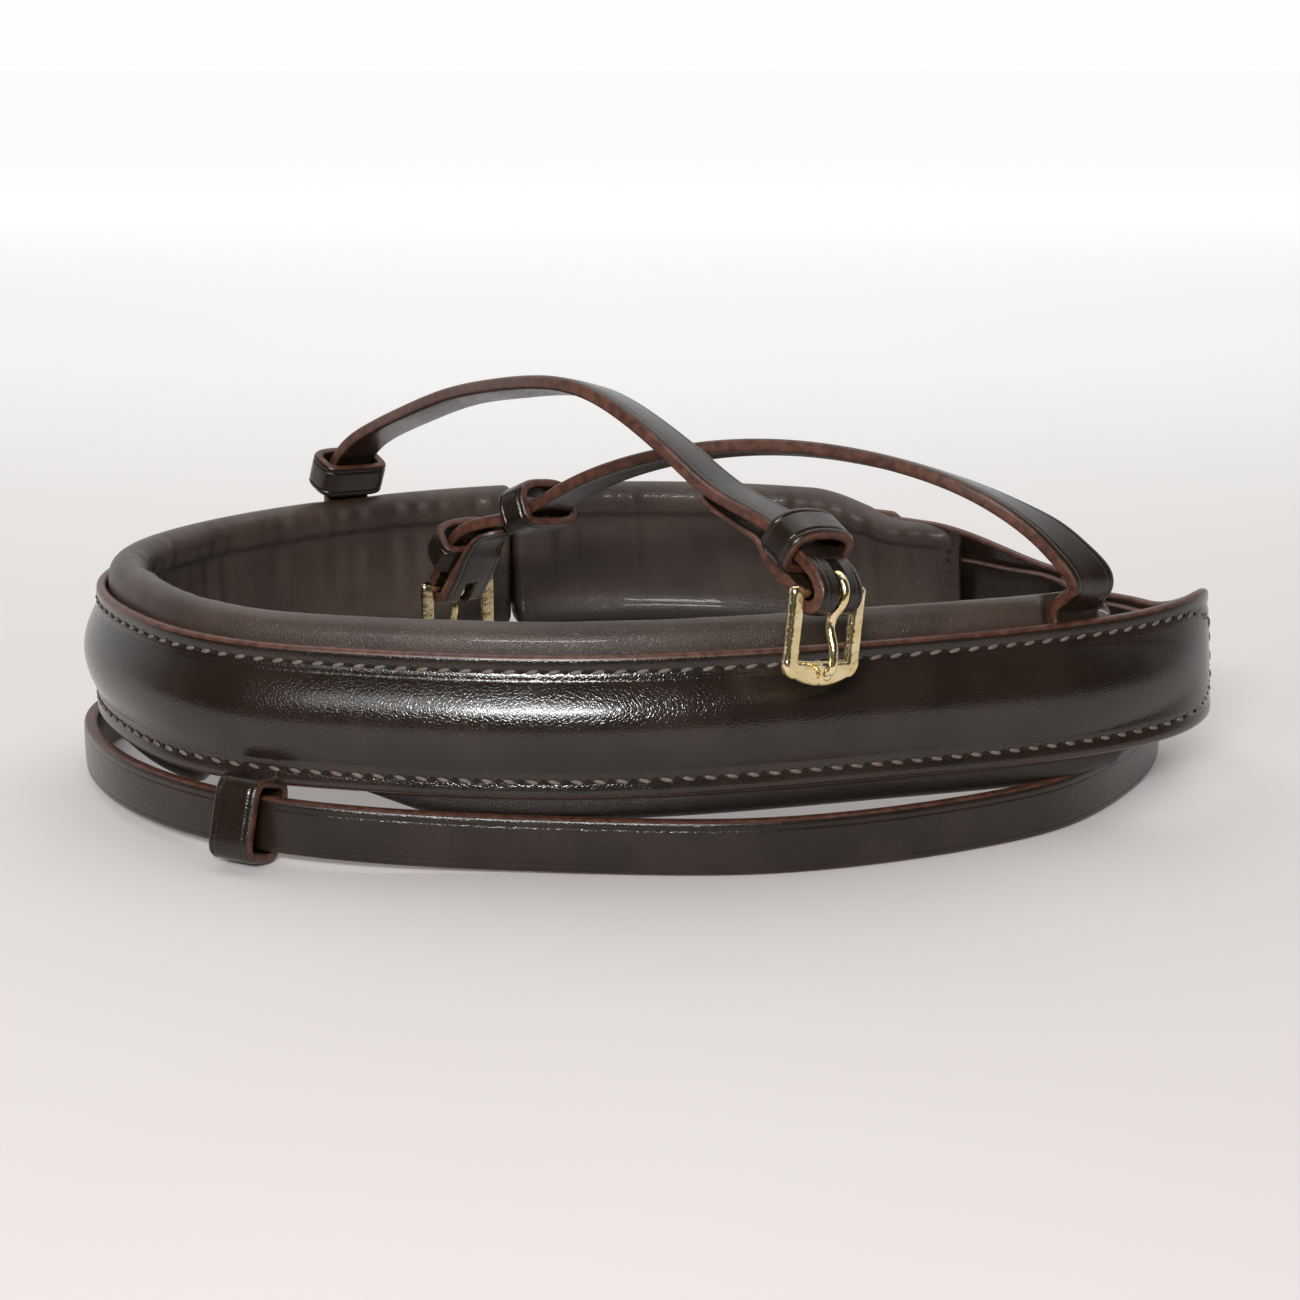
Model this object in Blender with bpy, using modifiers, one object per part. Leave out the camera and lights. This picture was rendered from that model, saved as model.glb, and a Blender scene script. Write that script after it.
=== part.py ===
"""Padded raised noseband of a bridle, laid down coiled into a ring.

Every leather piece is cut flat, as at the saddler's bench, and then bent onto its route:
the long outer leather and its padding round the ring, two cheek straps that arch over it,
and the chin strap that runs on its edge underneath. Three small buckles swing in folds at
the strap ends, and three loose runners slide on the straps. Metres, +Z up.
"""
import bpy
import bmesh
import math
import numpy as np
from mathutils import Matrix, Vector

mm = 0.001

# Driving dimensions: the ring
ring_length = 0.2905        # outside of the outer leather, left to right
ring_depth = 0.1935         # the same, front to back
noseband_lift = 0.0187      # lower edge of the outer leather above the table
leather_width = 0.0330
leather_thickness = 0.0026
margin_width = 0.0060       # flat margin beside the raised part
ridge_height = 0.0033
tail_width = 0.0170         # the outer leather's two ends, past the padding
tail_shoulder = 0.0015      # step where the jaw end narrows, each side
lap = 0.0003                # clearance between pieces that touch

# Driving dimensions: the padding behind it
padding_thickness = 0.0070
top_roll_radius = 0.0052
top_roll_rise = 0.0016      # roll's centre above the leather's top edge
low_roll_radius = 0.0038
low_roll_drop = 0.0001      # roll's centre below the leather's lower edge
low_roll_pressed = 0.0014   # the same where the ring rests on the chin runner, but above it
padding_end_round = 0.0060

# Driving dimensions: straps
strap_width = 0.0132
strap_thickness = 0.0034
strap_edge = 0.0008         # bevel on a strap's edges
cheek_root = 0.0120         # cheek strap sewn in below the leather's top edge
off_turn_back = 0.0420      # strap end folded round the bar and sewn back
near_turn_back = 0.0310
chin_turn_back = 0.0320
turn_tip = 0.0012           # thickness of the turned-back end's skived tip
point_length = 0.0140       # blunt point of the chin strap
hole_radius = 0.0017
hole_pitch = 0.0190
hole_count = 6
first_hole = 0.0300         # from the chin strap's point

# Driving dimensions: keepers and runners
loop_thickness = 0.0020
loop_band = 0.0095          # width of the band, along the strap
loop_corner = 0.0032
runner_room_wide = 0.0024   # inside, more than a strap's width
chin_runner_room = 0.0009   # the same, where the ring rests on it
chin_runner_lift = 0.0002   # its middle outside the strap's
runner_room_deep = 0.0014   # inside, more than two straps' thickness
keeper_room_wide = 0.0022
keeper_room_deep = 0.0049   # inside, more than the strap it is sewn round
keeper_distance = 0.0108    # keeper's middle to the buckle's bar

# Driving dimensions: buckles
bar_radius = 0.0012
bar_play = 0.0004           # room between the bar and the leather fold
side_width = 0.0037
buckle_drop = 0.0222        # bar to the lowest point of the front bar
front_bar = 0.0052
frame_thickness = 0.0024
frame_corner = 0.0026
prong_radius = 0.0011
groove_depth = 0.0006       # where the prong lies on the front bar
slot_width = 0.0036         # slot for the prong in the fold
slot_length = 0.0135

# The routes below were drawn in millimetres for a ring of this size, and follow it
drawn_length = 290.5
drawn_depth = 193.5
drawn_centre = (-2.2, 90.6)

# Lower outer edge of the outer leather, and how far its top edge leans inward: x, y, lean
ring_outline = [
    (117, 116, 0), (130, 107, 0), (140, 93.5, 1), (145.3, 78, 2), (142.5, 64, 4),
    (131, 47.5, 6.5), (111, 33.5, 6.5), (58.5, 14.2, 3.7), (-16, -1, 4.2), (-73, 5.5, 5),
    (-95, 12, 5.5), (-115.5, 25.5, 4.5), (-129, 42.5, 3), (-144.5, 84, 1.5), (-132, 126, 2.5),
    (-90, 166.5, 3), (-61, 181, 3), (2, 192.5, 3), (62, 177, 3), (104, 142, 2), (117, 126, 1),
]
jaw_end_x = (74, 116)        # where the jaw end narrows and where it stops, on the back wall
padding_start_x = 118        # on the front wall
ridge_start_x = 142          # the raised part's two pointed ends
ridge_end_x = -48            # on the back wall
jaw_padding_end_x = 97       # on the back wall
near_end_start = 0.022       # the near end narrows and drops between these distances
near_end_stop = 0.060
near_end_drop = 0.0032
near_root_x = 108            # near cheek strap, front wall
off_root_x = -93             # off cheek strap, back wall

# Lower outer edge of the chin strap past the jaw end: x, y and height
chin_outline = [
    (128.5, 115.5, 17.5), (135.7, 101.5, 6.8), (135, 85, 2.2), (130, 72.5, 0.5), (122, 58.5, 0),
    (111, 42.5, 0), (99, 30, 0), (83, 19.6, 0), (58.5, 8.4, 0), (23, -0.6, 0), (-11.5, -0.8, 0.3),
    (-46, -0.2, 1.4), (-70, 1, 2.7), (-93, 7.4, 3.4), (-115, 22, 3.4), (-129.5, 38, 3),
    (-141, 58, 2.2), (-149.6, 90, 0.8), (-144, 119, 0), (-128, 143, 0), (-104, 162, 0),
    (-74, 176, 0), (-44, 184, 0), (-16, 187.5, 0), (12, 187.5, 0), (40, 181.5, 0), (64, 170.5, 0),
]
chin_root_x = 76

# Middle of each cheek strap past its root: x, y and height
off_arch = [
    (-87.8, 157.2, 64), (-85.3, 154.8, 70), (-75, 144, 79.5), (-65.2, 130, 85.7),
    (-50.7, 108, 94), (-36.1, 84, 99.9), (-25.6, 65, 103.5), (-10.4, 42, 103.9),
    (0.1, 30.5, 98.8), (8.8, 24, 92.4), (16.8, 19.5, 86.3),
]
near_arch = [
    (105.4, 39, 58.5), (100.2, 38.8, 67), (91.0, 40, 74.3), (81.5, 43, 79.4), (61, 55, 85.2),
    (28, 75, 86.4), (0, 88, 80.5), (-20.5, 101, 70), (-33, 111.5, 61.3),
]
chin_buckle_arch = [(108, 115.3, 31.3), (101.5, 113.6, 29.5)]

# Each buckle's bar, and the heading and dive of the strap that comes to it, in degrees;
# roll tips the bar or the strap sideways, droop is how far the strap hangs past its keeper
off_bar, off_heading, off_dive, off_roll, off_droop = (39.4, -2, 67.2), -49, 58, -9.5, 30
near_bar, near_heading, near_dive = (-54, 128, 38.5), 125, 50
chin_bar, chin_heading = (83, 98, 28), 213
off_arch_heading, off_arch_roll = -25, -15
near_arch_heading, near_arch_roll = 147, 15
off_exit_rise = 0.0040      # how far a strap goes on straight above the leather's edge
near_exit_rise = 0.0030
off_runner_rise = 0.0258    # off runner: distance along the strap from its root
off_runner_lift = 0.0005    # its middle to the grain side of the strap's
near_runner_back = 0.0415   # near runner: distance along the strap from the buckle's bar
chin_runner_x = -93
chin_runner_lean = 18       # degrees, its lower side outward

# Finishes: linear colour, roughness, metallic
bridle_leather = ((0.030, 0.022, 0.018), 0.28, 0.0)
strap_leather = ((0.034, 0.024, 0.020), 0.30, 0.0)
lining_leather = ((0.075, 0.052, 0.042), 0.50, 0.0)
felt = ((0.20, 0.17, 0.14), 0.90, 0.0)
gilt = ((0.78, 0.60, 0.26), 0.22, 1.0)

for old in list(bpy.data.objects):
    bpy.data.objects.remove(old, do_unlink=True)
collection = bpy.data.collections.new("padded_noseband")
cutters = bpy.data.collections.new("cutters")
bpy.context.scene.collection.children.link(collection)
bpy.context.scene.collection.children.link(cutters)


def finish_piece(bm, name, finish):
    """Turn a bmesh into a named object with a material of its own."""
    mesh = bpy.data.meshes.new(name)
    bm.to_mesh(mesh)
    bm.free()
    mesh.shade_smooth()
    mesh.set_sharp_from_angle(angle=math.radians(35))
    colour, roughness, metallic = finish
    material = bpy.data.materials.new(name)
    material.use_nodes = True
    shader = material.node_tree.nodes["Principled BSDF"]
    shader.inputs["Base Color"].default_value = (*colour, 1.0)
    shader.inputs["Roughness"].default_value = roughness
    shader.inputs["Metallic"].default_value = metallic
    mesh.materials.append(material)
    piece = bpy.data.objects.new(name, mesh)
    collection.objects.link(piece)
    return piece


def hide_cutter(name, bm, parent=None):
    """Turn a bmesh into a hidden wire object that only cuts or joins."""
    mesh = bpy.data.meshes.new(name)
    bm.to_mesh(mesh)
    bm.free()
    cutter = bpy.data.objects.new(name, mesh)
    cutter.hide_render = True
    cutter.display_type = 'WIRE'
    cutter.parent = parent
    cutters.objects.link(cutter)
    return cutter


def combine(piece, operation, cutter):
    """Boolean of a piece with a hidden object."""
    step = piece.modifiers.new(cutter.name, 'BOOLEAN')
    step.operation = operation
    step.solver = 'EXACT'
    step.object = cutter


def box(size, matrix):
    """Box of a size placed by a matrix, as a bmesh."""
    bm = bmesh.new()
    bmesh.ops.create_cube(bm, size=1.0)
    bmesh.ops.scale(bm, vec=size, verts=bm.verts)
    bmesh.ops.transform(bm, matrix=matrix, verts=bm.verts)
    return bm


def rod(radius, length, segments, matrix):
    """Cylinder along its own Z placed by a matrix, as a bmesh."""
    bm = bmesh.new()
    bmesh.ops.create_cone(bm, cap_ends=True, segments=segments, radius1=radius, radius2=radius,
                          depth=length)
    bmesh.ops.transform(bm, matrix=matrix, verts=bm.verts)
    return bm


def placing(place, x_axis, y_axis, z_axis):
    """Matrix whose columns are the given axes and place."""
    matrix = Matrix.Identity(4)
    for column, axis in enumerate((x_axis, y_axis, z_axis, place)):
        for row in range(3):
            matrix[row][column] = float(axis[row])
    return matrix


def unit(vectors):
    """Vectors scaled to length one."""
    vectors = np.asarray(vectors, dtype=float)
    return vectors / np.linalg.norm(vectors, axis=-1, keepdims=True)


def smooth_step(value, low, high):
    """0 below low, 1 above high and a soft S between."""
    share = min(max((value - low) / (high - low), 0.0), 1.0)
    return share * share * (3 - 2 * share)


def heading_vector(degrees):
    """Level direction at an angle from +X."""
    return np.array([math.cos(math.radians(degrees)), math.sin(math.radians(degrees)), 0.0])


def drawn(x, y, z):
    """World point of a drawn one; the ring's size scales it in plan, heights are kept."""
    return np.array([(x - drawn_centre[0]) * ring_length / drawn_length,
                     (y - drawn_centre[1]) * ring_depth / drawn_depth, z * mm])


def spline(points, steps=24):
    """Natural cubic curve through the points; columns past the third are carried along."""
    points = np.array(points, dtype=float)
    spans = np.linalg.norm(np.diff(points[:, :3], axis=0), axis=1)
    count = len(points)
    system = np.eye(count)
    right = np.zeros_like(points)
    for i in range(1, count - 1):
        before, after = spans[i - 1], spans[i]
        system[i, i - 1:i + 2] = before, 2 * (before + after), after
        slopes = np.diff(points[i - 1:i + 2], axis=0) / np.array([[before], [after]])
        right[i] = 6 * (slopes[1] - slopes[0])
    bend = np.linalg.solve(system, right)
    rows = []
    for i, span in enumerate(spans):
        for b in np.linspace(0, 1, steps, endpoint=False):
            a = 1 - b
            rows.append(a * points[i] + b * points[i + 1]
                        + span ** 2 / 6 * ((a ** 3 - a) * bend[i] + (b ** 3 - b) * bend[i + 1]))
    rows.append(points[-1])
    return np.array(rows)


class Route:
    """Middle line of a strap with its width direction; a flat strap is bent onto it."""

    def __init__(self, rows, across):
        spans = np.linalg.norm(np.diff(rows, axis=0), axis=1)
        self.length_at = np.concatenate(([0.0], np.cumsum(spans)))
        self.total = self.length_at[-1]
        self.rows = rows
        self.tangent = unit(np.gradient(rows, self.length_at, axis=0))
        self.across = unit(across)

    def read(self, table, s):
        """Row of a table at distance s."""
        return np.array([np.interp(s, self.length_at, table[:, k]) for k in range(3)])

    def frame(self, s):
        """Place, direction, width direction and grain side at distance s."""
        tangent = unit(self.read(self.tangent, s))
        place = self.read(self.rows, s)
        across = self.read(self.across, s)
        across = unit(across - across.dot(tangent) * tangent)
        return place, tangent, across, np.cross(tangent, across)

    def point(self, s, u, n):
        """World point at distance s, u across and n to the grain side."""
        place, _, across, grain = self.frame(s)
        return place + across * u + grain * n


class Ring(Route):
    """Route of the noseband: u runs up the leather, n is outward from its back face."""

    def __init__(self):
        table = spline([(*drawn(x, y, 0), lean * mm) for x, y, lean in ring_outline])
        edge = table[:, :3] + np.array([0.0, 0.0, noseband_lift])
        spans = np.linalg.norm(np.diff(edge, axis=0), axis=1)
        length_at = np.concatenate(([0.0], np.cumsum(spans)))
        for row, s in zip(edge, length_at):
            row[2] -= near_end_drop * (1 - smooth_step(s, near_end_start, near_end_stop))
        forward = unit(np.gradient(edge, axis=0))
        outward = np.stack([-forward[:, 1], forward[:, 0], forward[:, 2]], axis=1)
        lean = table[:, 3:4] / leather_width
        up = np.sqrt(1 - lean ** 2) * np.array([[0.0, 0.0, 1.0]]) - lean * outward
        grain = np.cross(up, forward)
        Route.__init__(self, edge + up * leather_width / 2 - grain * leather_thickness, up)
        self.edge = edge

    def frame(self, s):
        place, tangent, up, grain = Route.frame(self, s)
        return place, tangent, up, -grain

    def at(self, x, wall):
        """Distance along the ring where its outline passes the drawn x on a wall."""
        right = int(np.argmax(self.edge[:, 0]))
        left = int(np.argmin(self.edge[:, 0]))
        x = drawn(x, 0, 0)[0]
        if wall == "front":
            part = slice(left, right, -1)
            return float(np.interp(x, self.edge[part, 0], self.length_at[part]))
        return float(np.interp(x, self.edge[left:, 0], self.length_at[left:]))


def slice_along(bm, places):
    """Cut a bmesh across X at each place."""
    for place in places:
        geometry = bm.verts[:] + bm.edges[:] + bm.faces[:]
        bmesh.ops.bisect_plane(bm, geom=geometry, plane_co=(place, 0, 0), plane_no=(1, 0, 0))


def even_places(first, last, pieces):
    """Inner ends of equal pieces between two places."""
    return [first + (last - first) * i / pieces for i in range(1, pieces)]


def flat_strap(length, places):
    """Strap cut flat along +X with bevelled edges, sliced where it will bend."""
    bm = box((length, strap_width, strap_thickness), Matrix.Translation((length / 2, 0, 0)))
    long_edges = [e for e in bm.edges if abs(e.verts[0].co.x - e.verts[1].co.x) > length / 2]
    bmesh.ops.bevel(bm, geom=long_edges, offset=strap_edge, segments=1, profile=0.5,
                    affect='EDGES', material=-1)
    slice_along(bm, places)
    return bm


def bend_onto(bm, route, start=0.0):
    """Move a flat bmesh onto its route: x along, y across, z to the grain side.

    The ring's y runs up and its z outward, a mirrored set, so its faces are turned over.
    """
    for v in bm.verts:
        v.co = Vector(route.point(start + v.co.x, v.co.y, v.co.z))
    if route is ring:
        bmesh.ops.reverse_faces(bm, faces=bm.faces)


ring = Ring()
ridge_start = ring.at(ridge_start_x, "front")
ridge_end = ring.at(ridge_end_x, "back")
padding_start = ring.at(padding_start_x, "front")
half_leather = leather_width / 2
half_ridge = half_leather - margin_width


def ridge_rise(s, u):
    """Height of the raised part: rounded across, fading out towards both pointed ends."""
    if abs(u) >= half_ridge:
        return 0.0
    fade = smooth_step(s, ridge_start, ridge_start + 0.050)
    fade *= 1 - smooth_step(s, ridge_end - 0.030, ridge_end)
    return ridge_height * fade * (0.5 + 0.5 * math.cos(math.pi * u / half_ridge)) ** 0.75


def half_width(s):
    """Half the outer leather's width: full over the padding, narrow at both tails."""
    narrow = half_leather - tail_width / 2
    near_end = smooth_step(s, near_end_start, near_end_stop)
    shoulder = ring.at(jaw_end_x[0], "back")
    jaw_end = smooth_step(s, shoulder + 0.012, ring.total)
    step = tail_shoulder * smooth_step(s, shoulder, shoulder + 0.003) * (1 - jaw_end)
    return half_leather - step - narrow * max(1 - near_end, jaw_end)


# Outer leather: a sheet with the raised part moulded in, then given its thickness
pieces_round = 96
rows_across = [-1, -0.82, -half_ridge / half_leather, -0.36, 0]
rows_across += [-row for row in reversed(rows_across[:-1])]
bm = bmesh.new()
bmesh.ops.create_grid(bm, x_segments=pieces_round, y_segments=len(rows_across) - 1, size=0.5)
for v in bm.verts:
    s = (v.co.x + 0.5) * ring.total
    share = rows_across[round((v.co.y + 0.5) * (len(rows_across) - 1))]
    rise = ridge_rise(s, share * half_leather)
    v.co = Vector(ring.point(s, share * half_width(s), leather_thickness + rise))
bmesh.ops.reverse_faces(bm, faces=bm.faces)
outer_leather = finish_piece(bm, "noseband_leather", bridle_leather)
shell = outer_leather.modifiers.new("thickness", 'SOLIDIFY')
shell.thickness = leather_thickness
shell.offset = -1.0
shell.use_even_offset = True
soft_edge = outer_leather.modifiers.new("soft_edge", 'BEVEL')
soft_edge.width = 0.0005
soft_edge.segments = 1
soft_edge.limit_method = 'ANGLE'
soft_edge.angle_limit = math.radians(60)

# Felt core: fills the raised part from behind
core_first = ridge_start + 0.022
core_last = ridge_end - 0.012
core_length = core_last - core_first
core_half = half_ridge * 0.72
bm = box((core_length, 2 * core_half, 1.0), Matrix.Translation((core_length / 2, 0, 0.5)))
slice_along(bm, even_places(0, core_length, 62))
for share in (-0.36, 0.0, 0.36):
    geometry = bm.verts[:] + bm.edges[:] + bm.faces[:]
    bmesh.ops.bisect_plane(bm, geom=geometry, plane_co=(0, share * half_leather, 0),
                           plane_no=(0, 1, 0))
for v in bm.verts:
    rise = ridge_rise(core_first + v.co.x, v.co.y)
    v.co.z *= max(rise - 2 * lap, lap)
bend_onto(bm, ring, core_first)
finish_piece(bm, "raised_core", felt)


def roll_points(side, radius, offset, turns):
    """Points round a roll at the top (side 1) or the bottom (side -1) of the padding."""
    points = []
    for turn in turns:
        angle = math.radians(turn)
        points.append((side * (half_leather + offset + radius * math.sin(angle)),
                       -lap - radius + radius * math.cos(angle)))
    return points


def padding_section(low_share):
    """Outline of the padding as (up, outward): flat front, two rolls and a crowned back."""
    crease = -lap - padding_thickness * 0.82
    crown = -lap - padding_thickness
    section = [(-half_leather * 0.5, -lap), (half_leather * 0.5, -lap)]
    section += roll_points(1, top_roll_radius, top_roll_rise, (5, 45, 85, 125, 165, 205))
    section += [(half_leather - top_roll_radius * 0.75, crease), (half_leather * 0.35, crown),
                (-half_leather * 0.35, crown), (-half_leather + low_roll_radius * 0.9, crease)]
    low_drop = low_roll_drop * low_share - low_roll_pressed * (1 - low_share)
    section += roll_points(-1, low_roll_radius * low_share, low_drop, (205, 160, 115, 70, 25))
    return section


def low_roll_share(s):
    """The lower roll is pressed flat over the chin strap's runner."""
    left = ring.at(chin_runner_x, "front")
    pressed = smooth_step(s, left - 0.060, left - 0.012)
    return 1.0 - 0.85 * pressed * (1 - smooth_step(s, left + 0.012, left + 0.040))


def jaw_share(s):
    """Rises from 0 to 1 where the padding leaves the leather and passes over the chin strap."""
    shoulder = ring.at(jaw_end_x[0], "back")
    return smooth_step(s, shoulder - 0.009, shoulder - 0.001)


def make_padding(name, first, last, pieces):
    """Padding section drawn along a stretch of the ring, its ends plump and closed."""
    corners = len(padding_section(1.0))
    jaw_roll_fades = ring.at(jaw_end_x[0], "back") + 0.010
    length = last - first
    bm = rod(1.0, length, corners, Matrix.Rotation(math.radians(90), 4, 'Y'))
    bmesh.ops.translate(bm, vec=(length / 2, 0, 0), verts=bm.verts)
    rounded = padding_end_round * 0.7
    slice_along(bm, [rounded * 0.35, rounded] + even_places(rounded, length - rounded, pieces)
                + [length - rounded, length - rounded * 0.35])
    for v in bm.verts:
        corner = round(-math.atan2(v.co.z, v.co.y) / math.tau * corners) % corners
        from_end = min(v.co.x, length - v.co.x)
        hollow = max(0.0, 1 - from_end / padding_end_round)
        plump = 1 - 0.55 * (1 - math.sqrt(max(0.0, 1 - hollow ** 2)))
        up, outward = padding_section(low_roll_share(first + v.co.x))[corner]
        over = jaw_share(first + v.co.x)
        outward = min(outward, -lap - (strap_thickness + 4 * lap) * over)
        narrow = min(1.0, (half_width(first + v.co.x) + 0.0015) / half_leather)
        if up > 0:
            narrow *= 1 - 0.30 * smooth_step(first + v.co.x, jaw_roll_fades - 0.034, jaw_roll_fades)
        v.co.y = up * (0.75 + 0.25 * plump) * narrow
        v.co.z = -lap - (strap_thickness + 4 * lap) * over * (1 - plump) + (outward + lap) * plump
    bend_onto(bm, ring, first)
    return finish_piece(bm, name, lining_leather)


padding_join = ridge_end + 0.004
nose_padding = make_padding("nose_padding", padding_start, padding_join, 62)
make_padding("jaw_padding", padding_join + 2 * lap, ring.at(jaw_padding_end_x, "back"), 24)


class Fold:
    """Where a strap turns round a buckle's bar."""

    def __init__(self, bar, heading, dive, bar_axis, droop=0.0):
        level = heading_vector(heading) * math.cos(math.radians(dive))
        forward = level - np.array([0.0, 0.0, math.sin(math.radians(dive))])
        self.bar = drawn(*bar)
        self.axis = unit(bar_axis)
        self.forward = unit(forward - forward.dot(self.axis) * self.axis)
        self.grain = np.cross(self.forward, self.axis)
        self.radius = bar_radius + bar_play + strap_thickness / 2
        self.droop = droop

    def approach(self):
        """Places of the strap's last stretch: straight in the keeper, drooping to the bar."""
        bent = keeper_distance - loop_band * 0.5
        steps = 8
        step = (keeper_distance + loop_band * 0.6) / steps
        place = self.bar + self.grain * self.radius
        places = [place]
        for i in range(steps):
            angle = math.radians(self.droop) * min(1.0, (i + 0.5) * step / bent)
            direction = self.forward * math.cos(angle) + self.grain * math.sin(angle)
            place = place - direction * step
            places.append(place)
        return places[::-1]


def folded_route(run, widths, fold, back_length):
    """Routes of a strap up to the bar, and of the whole strap with its turned-back end."""
    last = fold.approach()
    run = list(run) + last
    widths = list(widths) + [fold.axis] * len(last)
    table = spline([(*place, *width) for place, width in zip(run, widths)])
    arrive = Route(table[:, :3], table[:, 3:])
    rows, across = list(table[:, :3]), list(table[:, 3:])
    turns = 9
    for i in range(1, turns):
        angle = math.pi * (0.5 - i / turns)
        rows.append(fold.bar + fold.radius * (math.sin(angle) * fold.grain
                                              + math.cos(angle) * fold.forward))
        across.append(fold.axis)
    apart = 2 * fold.radius
    close = strap_thickness + 2 * lap
    keeper_end = keeper_distance + loop_band * 0.6
    for back in np.linspace(0, back_length, 25):
        place, _, width, grain = arrive.frame(arrive.total - back)
        gap = apart + (close - apart) * smooth_step(back, keeper_end, back_length * 0.8)
        thinned = smooth_step(back, back_length * 0.6, back_length)
        gap -= thinned * (strap_thickness - turn_tip) / 2
        rows.append(place - grain * gap)
        across.append(width)
    return arrive, Route(np.array(rows), np.array(across))


def make_folded_strap(name, run, widths, fold, back_length, pieces):
    """Strap with its end turned back round a bar, skived, and slotted for the prong."""
    arrive, route = folded_route(run, widths, fold, back_length)
    turned = arrive.total + math.pi * fold.radius
    places = even_places(0, arrive.total, pieces) + [arrive.total]
    places += even_places(arrive.total, turned, 8) + [turned]
    places += even_places(turned, route.total, 8)
    bm = flat_strap(route.total, places)
    for v in bm.verts:
        thinned = smooth_step(v.co.x, route.total - back_length * 0.4, route.total)
        v.co.z *= 1 - (1 - turn_tip / strap_thickness) * thinned
    bend_onto(bm, route)
    strap = finish_piece(bm, name, strap_leather)
    matrix = placing(fold.bar, fold.axis, -fold.forward, fold.grain)
    slot = hide_cutter(name + "_slot", box((slot_width, slot_length, 4 * fold.radius), matrix))
    combine(strap, 'DIFFERENCE', slot)
    return arrive


def rounded_rectangle(width, height, radius, corner_steps):
    """Points round a rectangle with round corners, centred at zero."""
    points = []
    for corner, (side, top) in enumerate(((1, 1), (-1, 1), (-1, -1), (1, -1))):
        for step in range(corner_steps + 1):
            angle = math.pi / 2 * (corner + step / corner_steps)
            points.append((side * (width / 2 - radius) + radius * math.cos(angle),
                           top * (height / 2 - radius) + radius * math.sin(angle)))
    return points


def curve_to_bmesh(curve):
    """Welded mesh of a curve, as a bmesh."""
    source = bpy.data.objects.new(curve.name, curve)
    bpy.context.scene.collection.objects.link(source)
    bpy.context.view_layer.update()
    graph = bpy.context.evaluated_depsgraph_get()
    mesh = bpy.data.meshes.new_from_object(source.evaluated_get(graph))
    bpy.data.objects.remove(source, do_unlink=True)
    bm = bmesh.new()
    bm.from_mesh(mesh)
    bpy.data.meshes.remove(mesh)
    bmesh.ops.remove_doubles(bm, verts=bm.verts, dist=1e-6)
    bmesh.ops.recalc_face_normals(bm, faces=bm.faces)
    return bm


def outlined_plate(name, outlines, thickness, finish, edge):
    """Flat plate in its own XY plane from an outline and its holes, edges bevelled."""
    curve = bpy.data.curves.new(name + "_outline", 'CURVE')
    curve.dimensions = '2D'
    curve.fill_mode = 'BOTH'
    curve.extrude = thickness / 2
    for outline in outlines:
        line = curve.splines.new('POLY')
        line.points.add(len(outline) - 1)
        for point, (x, y) in zip(line.points, outline):
            point.co = (x, y, 0, 1)
        line.use_cyclic_u = True
    bm = curve_to_bmesh(curve)
    rims = [e for e in bm.edges if abs(e.verts[0].co.z - e.verts[1].co.z) < thickness / 2
            and e.calc_face_angle(0) > math.radians(60)]
    bmesh.ops.bevel(bm, geom=rims, offset=edge, segments=1, profile=0.5, affect='EDGES',
                    material=-1)
    return finish_piece(bm, name, finish)


def make_loop(name, room_wide, room_deep, route, s, lift, lean=0.0):
    """Leather band closed round a strap: keepers are sewn in, runners slide."""
    wide = strap_width + room_wide
    inner = rounded_rectangle(wide, room_deep, loop_corner * 0.4, 2)
    outer = rounded_rectangle(wide + 2 * loop_thickness, room_deep + 2 * loop_thickness,
                              loop_corner, 3)
    loop = outlined_plate(name, [outer, inner], loop_band, strap_leather, 0.0005)
    place, tangent, across, grain = route.frame(s)
    turn = Matrix.Rotation(math.radians(lean), 3, Vector(tangent))
    across, grain = np.array(turn @ Vector(across)), np.array(turn @ Vector(grain))
    loop.matrix_world = placing(place + grain * lift, across, grain, tangent)
    return loop


def make_keeper(name, route):
    """Keeper sewn between the strap and its turned-back end, next to the buckle."""
    room = strap_thickness + keeper_room_deep
    lift = room / 2 - strap_thickness / 2 - 2.5 * lap
    return make_loop(name, keeper_room_wide, room, route, route.total - keeper_distance, lift)


def make_runner(name, route, s, lift, play=runner_room_wide, lean=0.0):
    """Loose runner on a single strap, with room for a second one."""
    room = 2 * strap_thickness + runner_room_deep
    return make_loop(name, play, room, route, s, lift, lean)


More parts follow.
